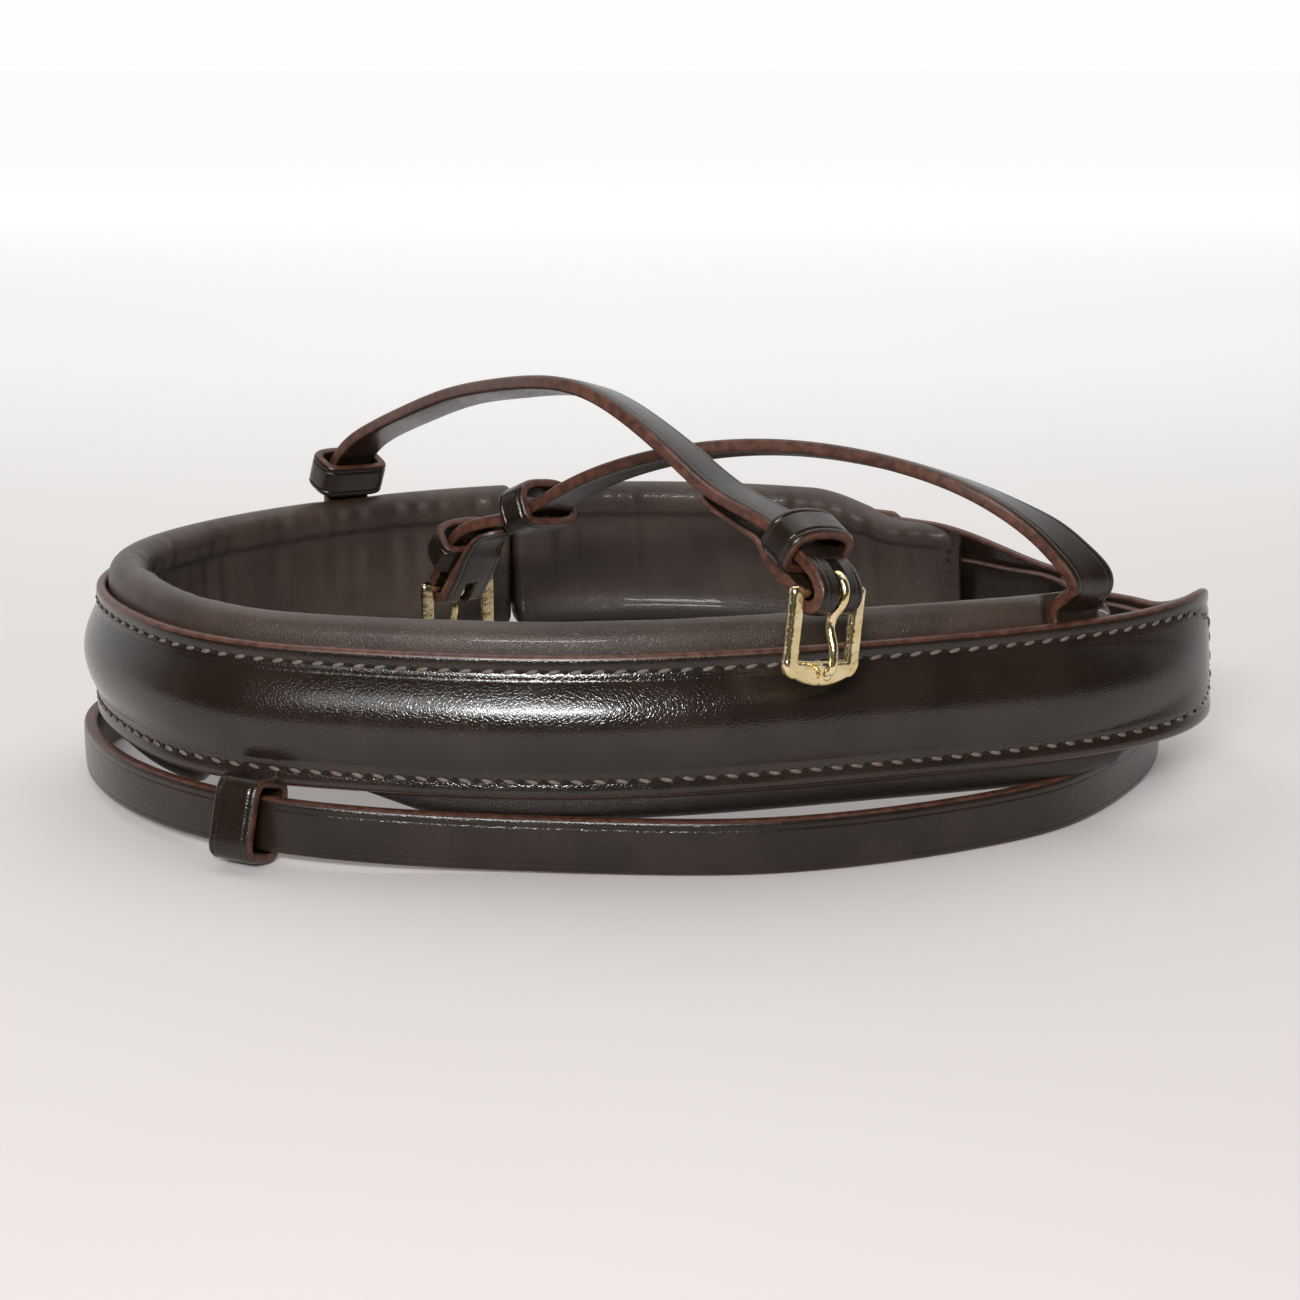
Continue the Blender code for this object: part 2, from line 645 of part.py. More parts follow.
def make_buckle_frame(name, matrix):
    """Cast frame: round bar at the top, two sides, grooved front bar below."""
    inside = strap_width / 2 + lap
    outside = inside + side_width
    top = side_width / 2
    low = -buckle_drop
    sill = low + front_bar
    slope = 0.0014
    right = [(inside, 0.0)]
    for angle in (135, 90, 45, 0):
        right.append((inside + top + top * math.cos(math.radians(angle)),
                      top * math.sin(math.radians(angle))))
    right += [(outside, low + frame_corner + slope),
              (outside - frame_corner * 0.3, low + frame_corner * 0.3 + slope),
              (outside - frame_corner, low + slope)]
    inner = [(inside - 0.0010, sill), (inside, sill + 0.0010)]
    outline = right + [(0.0, low)] + [(-x, y) for x, y in reversed(right)]
    outline += [(-x, y) for x, y in reversed(inner)] + inner
    frame = outlined_plate(name, [outline], frame_thickness, gilt, 0.0006)
    across = Matrix.Rotation(math.radians(90), 4, 'Y')
    bar = hide_cutter(name + "_bar", rod(bar_radius, 2 * (inside + top), 12, across), frame)
    combine(frame, 'UNION', bar)
    side = prong_radius * math.sqrt(2)
    place = Matrix.Translation((0, low + front_bar / 2,
                                frame_thickness / 2 + prong_radius - groove_depth))
    turn = Matrix.Rotation(math.radians(45), 4, 'Y')
    groove = hide_cutter(name + "_groove", box((side, front_bar * 2, side), place @ turn), frame)
    combine(frame, 'DIFFERENCE', groove)
    frame.matrix_world = matrix
    return frame


def make_prong(name, matrix):
    """Wire prong: an eye round the bar and a shank that lies in the front bar's groove."""
    eye = bar_radius + lap + prong_radius
    rest = frame_thickness / 2 + math.sqrt(prong_radius ** 2 - groove_depth ** 2) + lap
    tip = -buckle_drop + front_bar * 0.25
    path = []
    for turn in np.linspace(-165, 80, 10):
        path.append((eye * math.cos(math.radians(turn)), eye * math.sin(math.radians(turn))))
    path += [(tip * 0.17, eye * 0.90), (tip * 0.38, eye * 0.68), (tip * 0.56, eye * 1.15),
             (tip * 0.70, eye * 1.50), (tip * 0.80, eye * 1.38), (tip * 0.88, rest + 0.0001),
             (tip, rest)]
    curve = bpy.data.curves.new(name + "_wire", 'CURVE')
    curve.dimensions = '3D'
    curve.bevel_depth = prong_radius
    curve.bevel_resolution = 2
    curve.use_fill_caps = True
    line = curve.splines.new('POLY')
    line.points.add(len(path) - 1)
    for point, (y, z) in zip(line.points, path):
        point.co = (0, y, z, 1)
    prong = finish_piece(curve_to_bmesh(curve), name, gilt)
    prong.matrix_world = matrix
    return prong


def make_buckle(side, fold, hang):
    """Frame and prong that swing on the bar; hang is where the frame points at rest."""
    low = unit(hang - hang.dot(fold.axis) * fold.axis)
    matrix = placing(fold.bar, fold.axis, -low, np.cross(fold.axis, -low))
    make_buckle_frame(side + "_buckle_frame", matrix)
    make_prong(side + "_buckle_prong", matrix)


behind_leather = -2.5 * lap - strap_thickness / 2


def tipped(heading, roll):
    """Width direction of a strap with this heading, its far edge raised by the roll."""
    level = heading_vector(heading + 90) * math.cos(math.radians(roll))
    return level + np.array([0.0, 0.0, math.sin(math.radians(roll))])


def make_cheek_side(side, root, exit_rise, arch, middle, fold, back_length):
    """One cheek strap with its keeper and buckle; gives the strap's route up to the bar."""
    run = [ring.point(root, half_leather + rise, behind_leather)
           for rise in (-cheek_root, -cheek_root * 0.4, exit_rise)]
    _, forward, up, outward = ring.frame(root)
    widths = [forward] * len(run)
    for i in range(len(arch)):
        share = (i + 1) / (len(arch) + 1)
        ends = forward * max(0.0, 1 - 2 * share) + fold.axis * max(0.0, 2 * share - 1)
        widths.append(unit(ends + middle * (1 - abs(2 * share - 1))))
    run += [drawn(*place) for place in arch]
    arrive = make_folded_strap(side + "_cheek_strap", run, widths, fold, back_length, 26)
    reach = 0.030
    matrix = placing(ring.point(root, half_leather - cheek_root + reach - 3 * lap, behind_leather),
                     forward, outward, up)
    size = (strap_width + 5 * lap, strap_thickness + 7 * lap, 2 * reach)
    combine(nose_padding, 'DIFFERENCE', hide_cutter(side + "_strap_pocket", box(size, matrix)))
    make_keeper(side + "_cheek_keeper", arrive)
    make_buckle(side, fold, np.array([0.0, 0.0, -1.0]))
    return arrive


off_fold = Fold(off_bar, off_heading, off_dive, tipped(off_heading, off_roll), off_droop)
arrive = make_cheek_side("off", ring.at(off_root_x, "back"), off_exit_rise, off_arch,
                         tipped(off_arch_heading, off_arch_roll), off_fold, off_turn_back)
make_runner("off_cheek_runner", arrive, off_runner_rise, off_runner_lift)
near_fold = Fold(near_bar, near_heading, near_dive, tipped(near_heading, 0))
arrive = make_cheek_side("near", ring.at(near_root_x, "front"), near_exit_rise, near_arch,
                         tipped(near_arch_heading, near_arch_roll), near_fold, near_turn_back)
make_runner("near_cheek_runner", arrive, arrive.total - near_runner_back, runner_room_deep)

# Chin strap: sewn in behind the jaw end, then down to the table and round on its edge
run = []
for share in (0.0, 0.2, 0.4, 0.6, 0.8, 1.0):
    x = chin_root_x + (jaw_end_x[1] - chin_root_x) * share
    run.append(ring.point(ring.at(x, "back"), 0.0, behind_leather))
laid = spline([drawn(*place) for place in chin_outline])
forward = unit(np.gradient(laid, axis=0))
outward = unit(np.cross(np.array([0.0, 0.0, 1.0]), forward))
laid += np.array([0.0, 0.0, strap_width / 2]) - outward * strap_thickness / 2
rows = spline(run + list(laid[::24]))
rows[:, 2] = np.maximum(rows[:, 2], strap_width / 2)
chin_route = Route(rows, np.tile([0.0, 0.0, -1.0], (len(rows), 1)))
bm = flat_strap(chin_route.total, even_places(0, chin_route.total, 96))
for v in bm.verts:
    past = max(0.0, 1 - (chin_route.total - v.co.x) / point_length)
    v.co.y *= 1 - 0.8 * past ** 2
bend_onto(bm, chin_route)
chin_strap = finish_piece(bm, "chin_strap", strap_leather)
for i in range(hole_count):
    place, tangent, across, grain = chin_route.frame(chin_route.total - first_hole
                                                     - i * hole_pitch)
    matrix = placing(place, tangent, across, grain)
    punch = rod(hole_radius, 3 * strap_thickness, 10, matrix)
    combine(chin_strap, 'DIFFERENCE', hide_cutter("hole_punch_%d" % (i + 1), punch))
front = chin_route.rows[:, 1] < 0
away = np.abs(chin_route.rows[:, 0] - drawn(chin_runner_x, 0, 0)[0])
nearest = int(np.argmin(np.where(front, away, ring_length)))
runner = make_runner("chin_runner", chin_route, chin_route.length_at[nearest],
                     chin_runner_lift, chin_runner_room, chin_runner_lean)
runner.location.z -= min((runner.matrix_world @ v.co).z for v in runner.data.vertices)

# Chin buckle strap: sewn in behind the near end, its buckle inside the ring
run = []
for share in (0.0, 0.2, 0.4, 0.6, 0.8, 0.97):
    run.append(ring.point((1 - share) * ridge_start * 0.62, 0.0, behind_leather))
run += [drawn(*place) for place in chin_buckle_arch]
upright = np.array([0.0, 0.0, 1.0])
chin_fold = Fold(chin_bar, chin_heading, 0, upright)
chin_arrive = make_folded_strap("chin_buckle_strap", run, [upright] * len(run), chin_fold,
                                chin_turn_back, 16)
make_keeper("chin_keeper", chin_arrive)
make_buckle("chin", chin_fold, chin_fold.forward)
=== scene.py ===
import bpy
import bmesh
import math
import numpy as np
from mathutils import Matrix, Vector


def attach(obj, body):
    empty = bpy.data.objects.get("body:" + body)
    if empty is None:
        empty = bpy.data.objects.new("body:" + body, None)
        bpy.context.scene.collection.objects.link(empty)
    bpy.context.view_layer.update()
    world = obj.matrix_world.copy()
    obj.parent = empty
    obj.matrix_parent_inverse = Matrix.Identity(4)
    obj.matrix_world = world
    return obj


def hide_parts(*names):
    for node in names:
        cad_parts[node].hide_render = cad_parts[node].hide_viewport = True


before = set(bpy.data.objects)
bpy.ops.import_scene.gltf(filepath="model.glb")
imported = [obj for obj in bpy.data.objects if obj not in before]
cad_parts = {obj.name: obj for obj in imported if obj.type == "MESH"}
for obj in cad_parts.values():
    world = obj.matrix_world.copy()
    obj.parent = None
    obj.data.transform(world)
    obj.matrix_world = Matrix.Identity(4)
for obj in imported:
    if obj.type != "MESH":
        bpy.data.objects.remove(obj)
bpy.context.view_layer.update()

# Camera: it stands low in front of the coiled noseband and looks a little down on it, as
# the photograph does.
camera_data = bpy.data.cameras.new("camera")
camera_data.lens = 62.64
camera_data.sensor_width = 36
camera = bpy.data.objects.new("camera", camera_data)
camera.location = (0.0022, -0.5796, 0.1846)
camera.rotation_euler = (math.radians(75), 0, 0)
bpy.context.scene.collection.objects.link(camera)
bpy.context.scene.camera = camera

# Studio: a dim room with a bright far wall. A narrow window high in front, with a wider and
# softer one beside it, puts the glint on the ridge, and a soft box hangs over the table.


def add_lamp(name, place, aim, size, power, colour=(1, 1, 1)):
    """Rectangular area lamp aimed at a point."""
    data = bpy.data.lights.new(name, 'AREA')
    data.shape = 'RECTANGLE'
    data.size, data.size_y = size
    data.energy = power
    data.color = colour
    lamp = bpy.data.objects.new(name, data)
    lamp.location = place
    lamp.rotation_mode = 'QUATERNION'
    lamp.rotation_quaternion = (Vector(aim) - Vector(place)).to_track_quat('-Z', 'Y')
    bpy.context.scene.collection.objects.link(lamp)


def feed(tree, socket, value):
    """Link a socket to a shade, or set it to a plain value."""
    if isinstance(value, Shade):
        tree.links.new(value.socket, socket)
    else:
        socket.default_value = value


def add_node(tree, kind, settings, inputs, output=0):
    """Shader node: its settings come first, then the values or links of its sockets."""
    node = tree.nodes.new('ShaderNode' + kind)
    for name, value in settings.items():
        setattr(node, name, value)
    for slot, value in inputs.items():
        feed(tree, node.inputs[slot], value)
    return Shade(tree, node.outputs[output])


class Shade:
    """Output of a shader node; arithmetic on it adds Math nodes to the same tree."""

    def __init__(self, tree, socket):
        self.tree = tree
        self.socket = socket

    def __add__(self, other):
        return add_node(self.tree, 'Math', {'operation': 'ADD'}, {0: self, 1: other})

    def __mul__(self, other):
        return add_node(self.tree, 'Math', {'operation': 'MULTIPLY'}, {0: self, 1: other})

    __radd__ = __add__
    __rmul__ = __mul__

    def step(self, low, high, bottom=0.0, top=1.0):
        """bottom where this is below low, top where it is above high, a soft rise between."""
        return add_node(self.tree, 'MapRange', {'interpolation_type': 'SMOOTHSTEP'},
                        {'Value': self, 'From Min': low, 'From Max': high, 'To Min': bottom,
                         'To Max': top})


add_lamp("window", place=(-0.15, -1.15, 0.60), aim=(-0.02, 0, 0.03), size=(0.50, 0.12), power=11.0)
add_lamp("window_glow", place=(-0.38, -1.10, 0.72), aim=(-0.03, 0, 0.03), size=(1.0, 0.36),
         power=4.5)
add_lamp("overhead_box", place=(0.0, 0.35, 1.30), aim=(0, 0.05, 0), size=(1.6, 1.3), power=7.0,
         colour=(1.0, 0.985, 0.975))
room = bpy.data.worlds.new("room")
bpy.context.scene.world = room
room.use_nodes = True
walls = room.node_tree
background = walls.nodes["Background"].inputs
direction = add_node(walls, 'TexCoord', {}, {}, 'Generated')
ahead = add_node(walls, 'SeparateXYZ', {}, {'Vector': direction}, 'Y')
seen = add_node(walls, 'LightPath', {}, {}, 'Is Camera Ray')
feed(walls, background["Strength"], add_node(
    walls, 'Mix', {}, {'Factor': seen, 'A': ahead.step(-0.1, 0.7, 0.047, 0.79), 'B': 1.0}))
feed(walls, background["Color"], (1.0, 0.99, 0.99, 1))
bpy.context.scene.view_settings.view_transform = 'Standard'

# Outer leather of the noseband: one piece from the near tail, round the nose and on to the
# jaw end, its middle moulded over the felt core into a rounded ridge. It is dyed almost
# black brown, waxed and polished, and its cut edges are burnished red brown.
mm = 0.001


class Finish:
    """Principled material with the patterns that the pieces of this object need."""

    def __init__(self, name):
        self.material = bpy.data.materials.new(name)
        self.material.use_nodes = True
        self.tree = self.material.node_tree
        self.points = self.node('TexCoord', {}, {}, 'Object')
        self.turned = self.node('Mapping', {}, {'Vector': self.points,
                                                'Rotation': (0.6, 0.5, 0.4)})

    def node(self, kind, settings, inputs, output=0):
        """Any node of this material."""
        return add_node(self.tree, kind, settings, inputs, output)

    def noise(self, scale, detail):
        """Fractal noise, about this many patches to a metre."""
        return self.node('TexNoise', {}, {'Vector': self.turned, 'Scale': scale,
                                          'Detail': detail}, 'Fac')

    def grain(self, scale, groove):
        """Leather grain: flat cells, about this many to a metre, with grooves between."""
        to_border = self.node('TexVoronoi', {'feature': 'DISTANCE_TO_EDGE'},
                              {'Vector': self.turned, 'Scale': scale}, 'Distance')
        return to_border.step(0.0, groove)

    def mix(self, share, first, second):
        """Colour between two colours, each a shade or three numbers."""
        first, second = [colour if isinstance(colour, Shade) else (*colour, 1)
                         for colour in (first, second)]
        return self.node('Mix', {'data_type': 'RGBA'}, {0: share, 6: first, 7: second}, 2)

    def set(self, slot, value):
        """Give the material's shader a value or a shade."""
        feed(self.tree, self.tree.nodes["Principled BSDF"].inputs[slot], value)

    def bump(self, height, distance):
        """Relief as deep as this distance where the height goes from 0 to 1."""
        self.set("Normal", self.node('Bump', {}, {'Height': height, 'Distance': distance}))


def leather_finish(name, dark, light, roughness, gloss):
    """Waxed leather, cloudy from the dye, with cut edges burnished red brown."""
    finish = Finish(name)
    burnish = finish.node('Attribute', {'attribute_name': "burnish"}, {}, 'Fac')
    dye = finish.noise(60, 4).step(0.35, 0.7) * 0.75 + finish.noise(900, 2) * 0.25
    streaks = finish.noise(420, 3).step(0.3, 0.7)
    edge = finish.mix(streaks, (0.052, 0.0185, 0.0105), (0.122, 0.046, 0.027))
    face = finish.mix(dye, dark, light)
    finish.set("Base Color", finish.mix(burnish.step(0.25, 0.8), face, edge))
    uneven = finish.noise(420, 3) * 0.16 + finish.noise(35, 3) * 0.14
    finish.set("Roughness", uneven + (roughness - 0.15) + burnish * 0.25)
    finish.set("Specular IOR Level", gloss)
    finish.set("Coat Weight", gloss - 0.38)
    finish.set("Coat Roughness", 0.12)
    finish.bump(finish.grain(1150, 0.22) * 0.35 + finish.noise(1500, 2) * 0.56
                + finish.noise(170, 3) * 0.35, 0.00006)
    return finish.material


def unit(vectors):
    """Vectors of one length in the same directions."""
    vectors = np.asarray(vectors, dtype=float)
    return vectors / np.linalg.norm(vectors, axis=-1, keepdims=True)


def smooth_step(value, low, high):
    """0 below low and 1 above high, with a soft rise between."""
    share = np.clip((np.asarray(value, dtype=float) - low) / (high - low), 0.0, 1.0)
    return share * share * (3 - 2 * share)


def stretch(s, rise, fall):
    """1 along a stretch of the leather, with a soft rise and fall over two pairs of distances."""
    return smooth_step(s, *rise) * (1 - smooth_step(s, *fall))


def lengths(points):
    """Length of a line up to each of its points."""
    spans = np.linalg.norm(np.diff(points, axis=0), axis=1)
    return np.concatenate(([0.0], np.cumsum(spans)))


plan_origin = np.array([2.2, -90.6, 0.0])


def drawn(x, y, z):
    """World point of one measured in millimetres on the plan of the coil and above the table."""
    return (np.array([x, y, z]) + plan_origin) * mm


def spline(points, steps=24):
    """Natural cubic curve through the points; columns past the third are carried along."""
    points = np.array(points, dtype=float)
    spans = np.linalg.norm(np.diff(points[:, :3], axis=0), axis=1)
    count = len(points)
    system = np.eye(count)
    right = np.zeros_like(points)
    for i in range(1, count - 1):
        before, after = spans[i - 1], spans[i]
        system[i, i - 1:i + 2] = before, 2 * (before + after), after
        slopes = np.diff(points[i - 1:i + 2], axis=0) / np.array([[before], [after]])
        right[i] = 6 * (slopes[1] - slopes[0])
    bend = np.linalg.solve(system, right)
    rows = []
    for i, span in enumerate(spans):
        for b in np.linspace(0, 1, steps, endpoint=False):
            a = 1 - b
            rows.append(a * points[i] + b * points[i + 1]
                        + span ** 2 / 6 * ((a ** 3 - a) * bend[i] + (b ** 3 - b) * bend[i + 1]))
    rows.append(points[-1])
    return np.array(rows)


class Route:
    """Line that flat leather is bent onto: s runs along it, u across and n to the grain side."""

    def __init__(self, rows, across, grain_sign=1):
        self.length_at = lengths(rows)
        self.total = self.length_at[-1]
        self.rows = rows
        self.tangent = unit(np.gradient(rows, self.length_at, axis=0))
        self.across = unit(across)
        self.grain_sign = grain_sign

    def read(self, table, s):
        """Rows of a table of vectors at distances s."""
        return np.stack([np.interp(s, self.length_at, table[:, k]) for k in range(3)], axis=-1)

    def frames(self, s):
        """Places, directions, width directions and grain sides at distances s."""
        s = np.atleast_1d(np.asarray(s, dtype=float))
        tangent = unit(self.read(self.tangent, s))
        place = self.read(self.rows, s)
        across = self.read(self.across, s)
        across = unit(across - (across * tangent).sum(axis=1, keepdims=True) * tangent)
        return place, tangent, across, self.grain_sign * np.cross(tangent, across)

    def points(self, s, u, n):
        """World points; u and n may be arrays like s."""
        place, _, across, grain = self.frames(s)
        return place + across * np.reshape(u, (-1, 1)) + grain * np.reshape(n, (-1, 1))


def outline(half, thickness, edge, tops=(-1, -0.5, 0, 0.5, 1), backs=(-1, -0.5, 0, 0.5, 1)):
    """Columns round a section with rounded edges: u, n, burnish, and 1 on the grain side.

    half and thickness may change along the strap; tops and backs are places across its two
    sides as shares of the flat width, from one edge to the other.
    """
    half, thickness = np.atleast_1d(half)[:, None], np.atleast_1d(thickness)[:, None]
    steps = 5
    columns = [(a, 1, 90, 0) for a in tops]
    columns += [(1, 1, 90 - 90 * i / steps, 1) for i in range(1, steps + 1)]
    columns += [(1, -1, -90 * i / steps, 1) for i in range(steps)]
    columns += [(a, -1, -90, 0) for a in reversed(backs)]
    columns += [(-1, -1, -90 - 90 * i / steps, 1) for i in range(1, steps + 1)]
    columns += [(-1, 1, -180 - 90 * i / steps, 1) for i in range(steps)]
    a, b, turn, corner = np.array(columns, dtype=float).T
    turn = np.radians(turn)
    u = a * (half - edge) + edge * np.cos(turn)
    n = b * (thickness / 2 - edge) + edge * np.sin(turn)
    burnish = corner * np.clip((0.93 - np.abs(np.sin(turn))) / 0.35, 0, 1)
    return u, n, np.broadcast_to(burnish, u.shape), (b > 0) * (corner < 1)


def mirrored(shares):
    """Places across one half of a side, its middle, and the same places on the other half."""
    return np.concatenate([shares, [0], -np.array(shares)[::-1]])


def settle(bm, name, body, node, material):
    """Make a finished shape a piece that rides on its body in its node's place."""
    mesh = bpy.data.meshes.new(name)
    bm.to_mesh(mesh)
    bm.free()
    mesh.shade_smooth()
    mesh.set_sharp_from_angle(angle=math.radians(50))
    mesh.materials.append(material)
    piece = bpy.data.objects.new(name, mesh)
    bpy.context.scene.collection.objects.link(piece)
    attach(piece, body)
    if node:
        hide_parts(node)
    return piece


def cover(name, body, node, route, s, columns, material, closed=False):
    """Skin of a strap: a grid folded round its section and bent onto its route."""
    rows, count = len(s), columns[0].shape[1]
    u, n, burnish = [np.broadcast_to(table, (rows, count)) for table in columns]
    place, _, across, grain = route.frames(s)
    world_points = (place[:, None] + across[:, None] * u[..., None]
                    + grain[:, None] * n[..., None])
    bm = bmesh.new()
    bmesh.ops.create_grid(bm, x_segments=rows - 1, y_segments=count, size=0.5)
    mesh = bpy.data.meshes.new(name)
    bm.to_mesh(mesh)
    bm.free()
    flat = np.empty(len(mesh.vertices) * 3)
    mesh.vertices.foreach_get("co", flat)
    flat = flat.reshape(-1, 3)
    row = np.rint((flat[:, 0] + 0.5) * (rows - 1)).astype(int)
    column = np.rint((flat[:, 1] + 0.5) * count).astype(int) % count
    mesh.vertices.foreach_set("co", world_points[row, column].ravel())
    mask = mesh.attributes.new("burnish", 'FLOAT', 'POINT')
    mask.data.foreach_set("value", burnish[row, column].astype(np.float32))
    bm = bmesh.new()
    bm.from_mesh(mesh)
    bpy.data.meshes.remove(mesh)
    rim = [vertex for vertex in bm.verts if vertex.is_boundary]
    bmesh.ops.remove_doubles(bm, verts=rim, dist=1e-7)
    if not closed:
        ends = [edge for edge in bm.edges if edge.is_boundary]
        bmesh.ops.holes_fill(bm, edges=ends, sides=0)
    if bm.calc_volume(signed=True) < 0:
        bmesh.ops.reverse_faces(bm, faces=bm.faces)
    return settle(bm, name, body, node, material)


# Foot of the leather on the plan, from the near tail to the jaw end, with how far its upper
# edge leans in over it.
ring_outline = [
    (117, 116, 0), (130, 107, 0), (140, 93.5, 1), (145.3, 78, 2), (142.5, 64, 4),
    (131, 47.5, 6.5), (111, 33.5, 6.5), (58.5, 14.2, 3.7), (-16, -1, 4.2), (-73, 5.5, 5),
    (-95, 12, 5.5), (-115.5, 25.5, 4.5), (-129, 42.5, 3), (-144.5, 84, 1.5), (-132, 126, 2.5),
    (-90, 166.5, 3), (-61, 181, 3), (2, 192.5, 3), (62, 177, 3), (104, 142, 2), (117, 126, 1),
]
foot_height = 18.7
upright = np.array([0.0, 0.0, 1.0])
leather_width, leather_thickness, leather_edge = 0.0330, 0.0026, 0.00125
half_leather = leather_width / 2
half_tail, tail_dip = 0.0085, 0.0032
tail_start, tail_end = 0.022, 0.060
table = spline([(*drawn(x, y, foot_height), lean * mm) for x, y, lean in ring_outline], steps=72)
foot = table[:, :3]
foot[:, 2] -= tail_dip * (1 - smooth_step(lengths(foot), tail_start, tail_end))
forward = unit(np.gradient(foot, axis=0))
outward = np.stack([-forward[:, 1], forward[:, 0], forward[:, 2]], axis=1)
lean = table[:, 3:4] / leather_width
up = np.sqrt(1 - lean ** 2) * upright - lean * outward
ring = Route(foot + up * half_leather - np.cross(up, forward) * leather_thickness, up, -1)


def ring_at(x, wall):
    """Distance along the ring where its outline passes a drawn x on a wall."""
    right, left = int(np.argmax(foot[:, 0])), int(np.argmin(foot[:, 0]))
    part = slice(left, right, -1) if wall == "front" else slice(left, None)
    return float(np.interp(drawn(x, 0, 0)[0], foot[part, 0], ring.length_at[part]))


ridge_start, ridge_end = ring_at(142, "front"), ring_at(-48, "back")
ridge_height, half_ridge = 0.0033, half_leather - 0.0060
near_fade, jaw_fade = 0.050, 0.030
shoulder, shoulder_step = ring_at(74, "back"), 0.0015
sewn_in, pull_depth, pull_width = 0.0039, 0.00030, 0.0008
lip_height, lip_at, half_lip = 0.00004, 0.0145, 0.0018
burnished_to, polished_from = 0.0008, 0.0013


def ridge_rise(s, u):
    """Height of the ridge, which fades out at both of its ends."""
    share = stretch(s, (ridge_start, ridge_start + near_fade), (ridge_end - jaw_fade, ridge_end))
    width = half_ridge * (0.35 + 0.65 * np.sqrt(share))
    inside = np.clip(np.abs(u) / np.maximum(width, 1e-6), 0, 1)
    return ridge_height * share * (0.5 + 0.5 * np.cos(math.pi * inside)) ** 0.46


def half_width(s):
    """Half the leather's width: narrow tails, and a step where the jaw end begins."""
    near_end = smooth_step(s, tail_start, tail_end)
    jaw_end = smooth_step(s, shoulder + 0.012, ring.total)
    step = shoulder_step * smooth_step(s, shoulder, shoulder + 0.003) * (1 - jaw_end)
    return half_leather - step - (half_leather - half_tail) * np.maximum(1 - near_end, jaw_end)


polished_leather = leather_finish("polished_leather", dark=(0.012, 0.0080, 0.0052),
                                  light=(0.024, 0.0165, 0.0115), roughness=0.17, gloss=0.53)
s = np.linspace(0, ring.total, 960)
half = half_width(s)[:, None]
tops = mirrored([-0.985, -0.95, -0.88, -0.82, -0.79, -0.76, -0.73, -0.70, -0.675, -0.65, -0.62,
                 -0.58, -0.52, -0.46, -0.40, -0.34, -0.28, -0.21, -0.14, -0.07])
u, n, burnish, grain_side = outline(half_width(s), leather_thickness, leather_edge, tops, tops)
burnish = np.maximum(burnish, 1 - smooth_step(half - u, burnished_to, polished_from))
pulled = pull_depth * np.exp(-((half - sewn_in - np.abs(u)) / pull_width) ** 2)
lip = lip_height * np.cos(np.clip((np.abs(u) - lip_at) / half_lip, -1, 1) * math.pi / 2)
n = n + leather_thickness / 2 + ridge_rise(s[:, None], u) + grain_side * (lip - pulled)
cover("noseband_outer_leather", "noseband", "noseband_leather", ring, s, (u, n, burnish),
      polished_leather)

# Sewing: two rows of heavy waxed linen thread, each stitch a little askew between its two
# needle holes. The rows meet in a pointed arch at the near end of the ridge and follow the
# leather's edges to the jaw end.
thread = Finish("waxed_thread")
thread.set("Base Color", thread.mix(thread.noise(700, 2), (0.065, 0.047, 0.040), (0.22, 0.175, 0.15)))
thread.set("Roughness", 0.62)
thread.bump(thread.noise(3500, 2), 0.00005)
# Needle holes: flat near-black beads let into the leather, painted shade in the holes.
hole_shadow = Finish("needle_hole_shade")
hole_shadow.set("Base Color", (0.004, 0.003, 0.003, 1))
hole_shadow.set("Roughness", 0.9)
pitch, askew, sunk = 0.0050, 12, 0.00005
half_stitch, stitch_side, stitch_up = 0.0015, 0.00052, 0.00044
half_hole, hole_side, hole_up = 0.00075, 0.00050, 0.00016
arch_base, arch_tip = ridge_start + 0.016, ridge_start - 0.011
turn = np.linspace(math.pi / 2, 0, 40)
arch_s = arch_base - (arch_base - arch_tip) * np.sin(turn) ** 0.9
arch_u = (half_leather - sewn_in) * np.cos(turn) ** 0.8
row_s = np.linspace(arch_base, ring.total - 0.010, 900)[1:]
path = np.stack([np.concatenate([arch_s, row_s]),
                 np.concatenate([arch_u, half_width(row_s) - sewn_in])], axis=1)
path_length = lengths(path)
holes = np.arange(int(path_length[-1] / pitch)) * pitch


def along_path(marks):
    """Distances along the ring and places across it at lengths along the sewing."""
    return [np.interp(marks, path_length, path[:, k]) for k in (0, 1)]


def on_grain(s, u):
    """Places just under the grain side, with the directions along, across and out of it."""
    _, tangent, across, grain = ring.frames(s)
    places = ring.points(s, u, leather_thickness + ridge_rise(s, u) - sunk)
    return zip(places, tangent, across, grain)


def placing(place, x_axis, y_axis, z_axis):
    """Matrix whose columns are the given axes and place."""
    matrix = Matrix.Identity(4)
    for column, axis in enumerate((x_axis, y_axis, z_axis, place)):
        for row in range(3):
            matrix[row][column] = float(axis[row])
    return matrix


def bead_row(name, material, rings, beads):
    """Row of small beads let into the leather, each with its place and three half axes."""
    bm = bmesh.new()
    for bead in beads:
        bmesh.ops.create_uvsphere(bm, u_segments=8, v_segments=rings, radius=1.0,
                                  matrix=placing(*bead))
    piece = settle(bm, name, "noseband", None, material)


